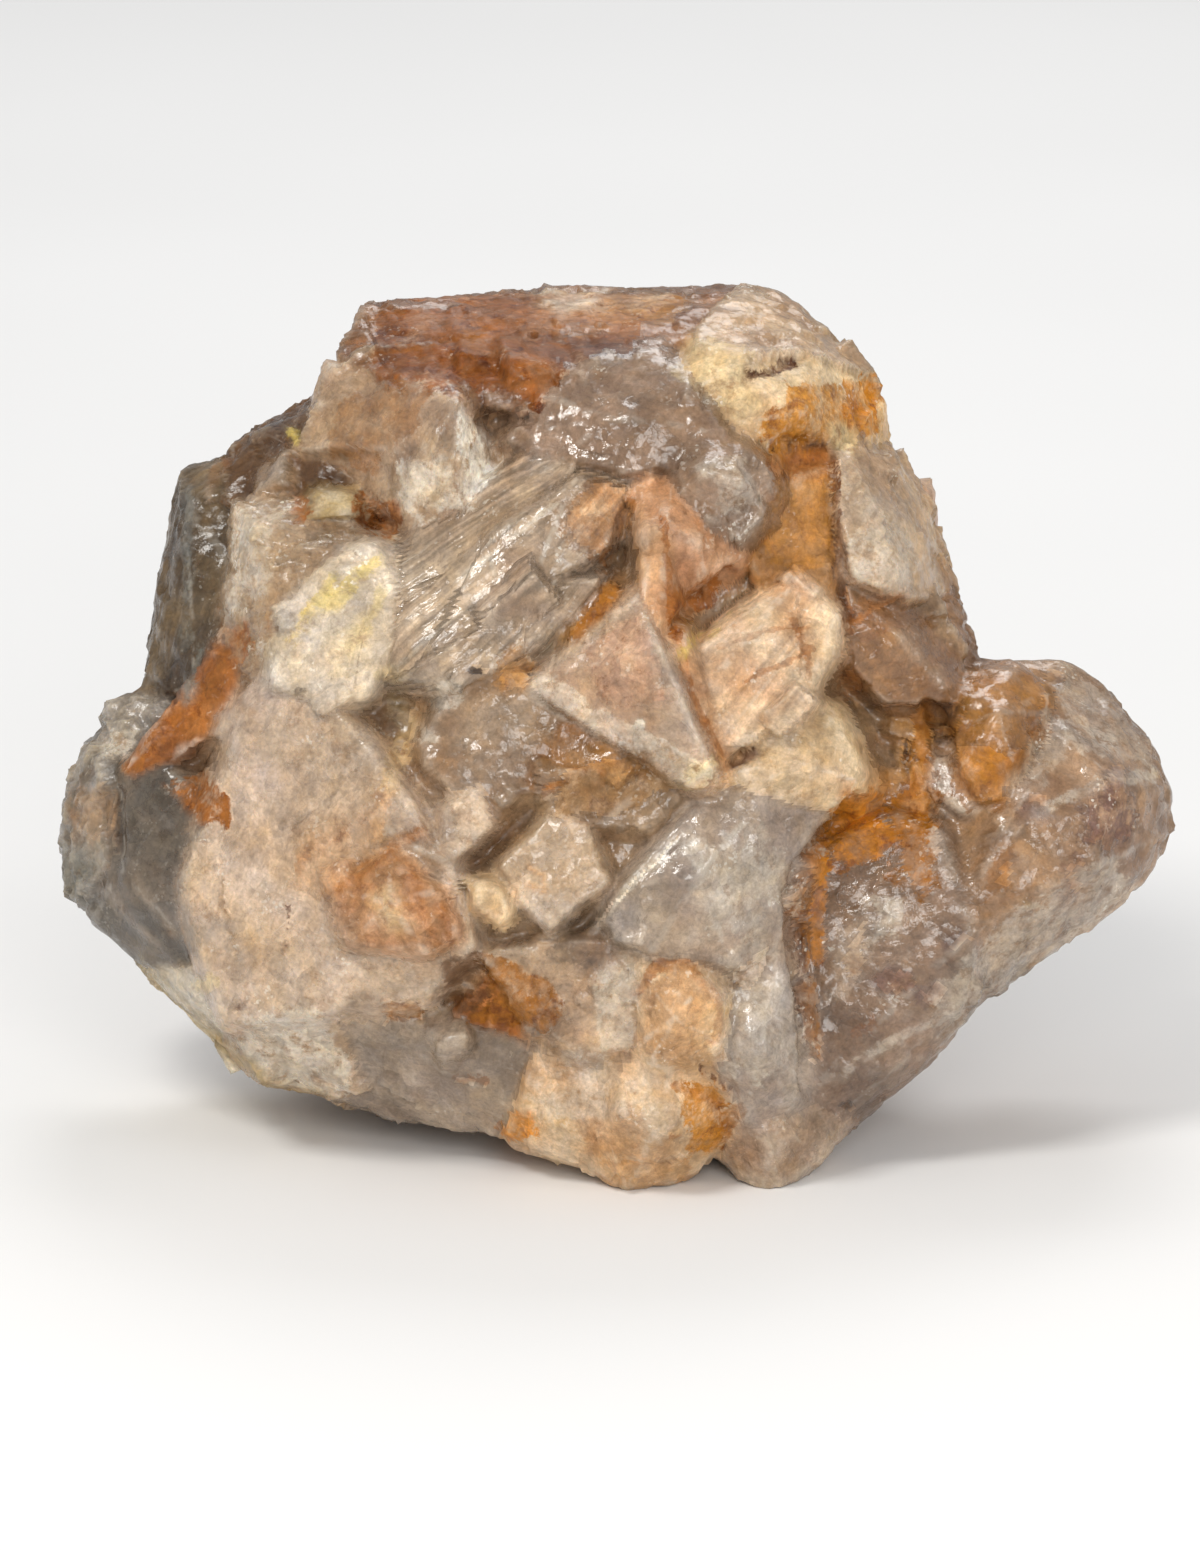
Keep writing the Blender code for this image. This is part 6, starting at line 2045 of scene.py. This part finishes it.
@dataclass
class Studio:
    """Pale floor, soft light, white surroundings and the camera."""

    stance: Stance
    floor_size: float = 6.0
    sky: float = 0.5

    def floor(self) -> bpy.types.Object:
        """A pale matt floor.

        Returns:
            The floor.
        """
        half = self.floor_size / 2
        mesh = bpy.data.meshes.new("studio_floor")
        mesh.from_pydata([(-half, -half, 0), (half, -half, 0), (half, half, 0), (-half, half, 0)], [], [(0, 1, 2, 3)])
        paint = bpy.data.materials.new("studio_floor")
        paint.use_nodes = True
        shader = paint.node_tree.nodes["Principled BSDF"]
        wiring = Wiring(paint.node_tree)
        place = wiring.add("ShaderNodeTexCoord").outputs["Object"]
        shade = wiring.span(wiring.noise(place, 3.0), 0.3, 0.7, 0.80, 0.84)
        colour = wiring.add("ShaderNodeCombineColor", Red=shade, Green=shade, Blue=shade).outputs[0]
        wiring.feed(shader.inputs["Base Color"], colour)
        shader.inputs["Roughness"].default_value = 0.9
        mesh.materials.append(paint)
        made = bpy.data.objects.new("studio_floor", mesh)
        bpy.context.scene.collection.objects.link(made)
        return made

    def lamp(self, name: str, place: tuple, size: float, power: float, tint: tuple) -> None:
        """A soft square light aimed at the stone.

        Args:
            name: what it is called.
            place: where it hangs, in metres.
            size: length of its side.
            power: in watts.
            tint: its colour.
        """
        light = bpy.data.lights.new(name, "AREA")
        light.size = size
        light.energy = power
        light.color = tint
        lamp = bpy.data.objects.new(name, light)
        bpy.context.scene.collection.objects.link(lamp)
        lamp.location = place
        lamp.rotation_euler = (Vector((0, 0, 0.035)) - lamp.location).to_track_quat("-Z", "Y").to_euler()

    def camera(self) -> None:
        """Puts the camera at the eye, far off and level with the stance."""
        aim = self.stance.place(*EYE_AIM, 0)
        eye = self.stance.place(*EYE_AIM, EYE_DISTANCE)
        lens = bpy.data.cameras.new("studio_camera")
        lens.sensor_width = 36.0
        lens.lens = 36.0 * EYE_DISTANCE / PICTURE_HEIGHT
        lens.clip_start = 0.01
        made = bpy.data.objects.new("studio_camera", lens)
        bpy.context.scene.collection.objects.link(made)
        made.location = eye
        made.rotation_euler = (aim - eye).to_track_quat("-Z", "Y").to_euler()
        bpy.context.scene.camera = made

    def build(self) -> None:
        """Sets everything up."""
        self.floor()
        self.lamp("key", (-0.32, -0.34, 0.60), 0.18, 2.4, (1.0, 0.98, 0.94))
        self.lamp("front", (0.15, -0.90, 0.42), 0.40, 3.4, (1.0, 0.99, 0.97))
        self.lamp("side", (0.60, -0.35, 0.30), 0.15, 0.7, (1.0, 0.98, 0.96))
        self.lamp("rear", (0.05, 0.45, 0.55), 0.30, 1.4, (1.0, 1.0, 1.0))
        world = bpy.data.worlds.new("studio_world")
        world.use_nodes = True
        world.node_tree.nodes["Background"].inputs["Color"].default_value = (1.0, 1.0, 1.0, 1.0)
        world.node_tree.nodes["Background"].inputs["Strength"].default_value = self.sky
        bpy.context.scene.world = world
        bpy.context.scene.view_settings.view_transform = "Standard"
        self.camera()


@dataclass
class QuartzPiece:
    """The skin as one piece, in its three glassy finishes."""

    skin: Skin
    colouring: Colouring
    finishes: tuple[Glass, ...] = (
        Glass("quartz_clear", 0.40, 0.14, 1.0, 0.0, 0.5),
        Glass("quartz_clouded", 0.20, 0.20, 1.0, 0.25, 0.35),
        Glass("quartz_stained", 0.0, 0.33, 1.0, 0.2, 0.18),
    )

    def build(self) -> bpy.types.Object:
        """Makes the object, with its mesh and attributes.

        Returns:
            The piece.
        """
        mesh = self.skin.mesh("quartz_skin")
        self.colouring.store(mesh)
        piece = bpy.data.objects.new("quartz_skin", mesh)
        bpy.context.scene.collection.objects.link(piece)
        return piece

    def dress(self, piece: bpy.types.Object) -> None:
        """Gives the piece its materials, by crystal.

        Args:
            piece: the built piece.
        """
        tone, relief = StoneTone(), FractureRelief()
        for finish in self.finishes:
            piece.data.materials.append(finish.material(tone, relief))
        slots = np.array([crystal.finish.value.slot.value for crystal in self.skin.habit.crystals])
        quads, triangles = self.skin.rays.quads, self.skin.rays.triangles
        first = np.concatenate((quads[:, 0], triangles[:, 0]))
        index = slots[self.skin.owner[first]]
        index = np.where(self.colouring.solid[first] > 0.45, Slot.STAINED.value, index)
        piece.data.polygons.foreach_set("material_index", index.astype(np.int32))

    def place(self, piece: bpy.types.Object) -> None:
        """Ties the piece to the frame."""
        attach(piece, "root")
        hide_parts("quartz_cluster")


def main() -> None:
    """Builds the stone and the studio."""
    logging.basicConfig(level=logging.INFO, format="%(name)s: %(message)s")
    stance = Stance()
    habit = CrystalHabit()
    habit.grow()
    skin = Skin(stance, habit, Rays())
    skin.shape()
    skin.relief()
    LOG.info("skin: %d crystals, %d triangles", len(habit.crystals), len(skin.triangles()))
    colouring = Colouring(skin)
    colouring.work_out()
    quartz = QuartzPiece(skin, colouring)
    piece = quartz.build()
    quartz.dress(piece)
    quartz.place(piece)
    LOG.info("%s: %d points", piece.name, len(piece.data.vertices))
    Studio(stance).build()
    LOG.info("studio: floor, lights and camera")


if __name__ == "__main__":
    main()
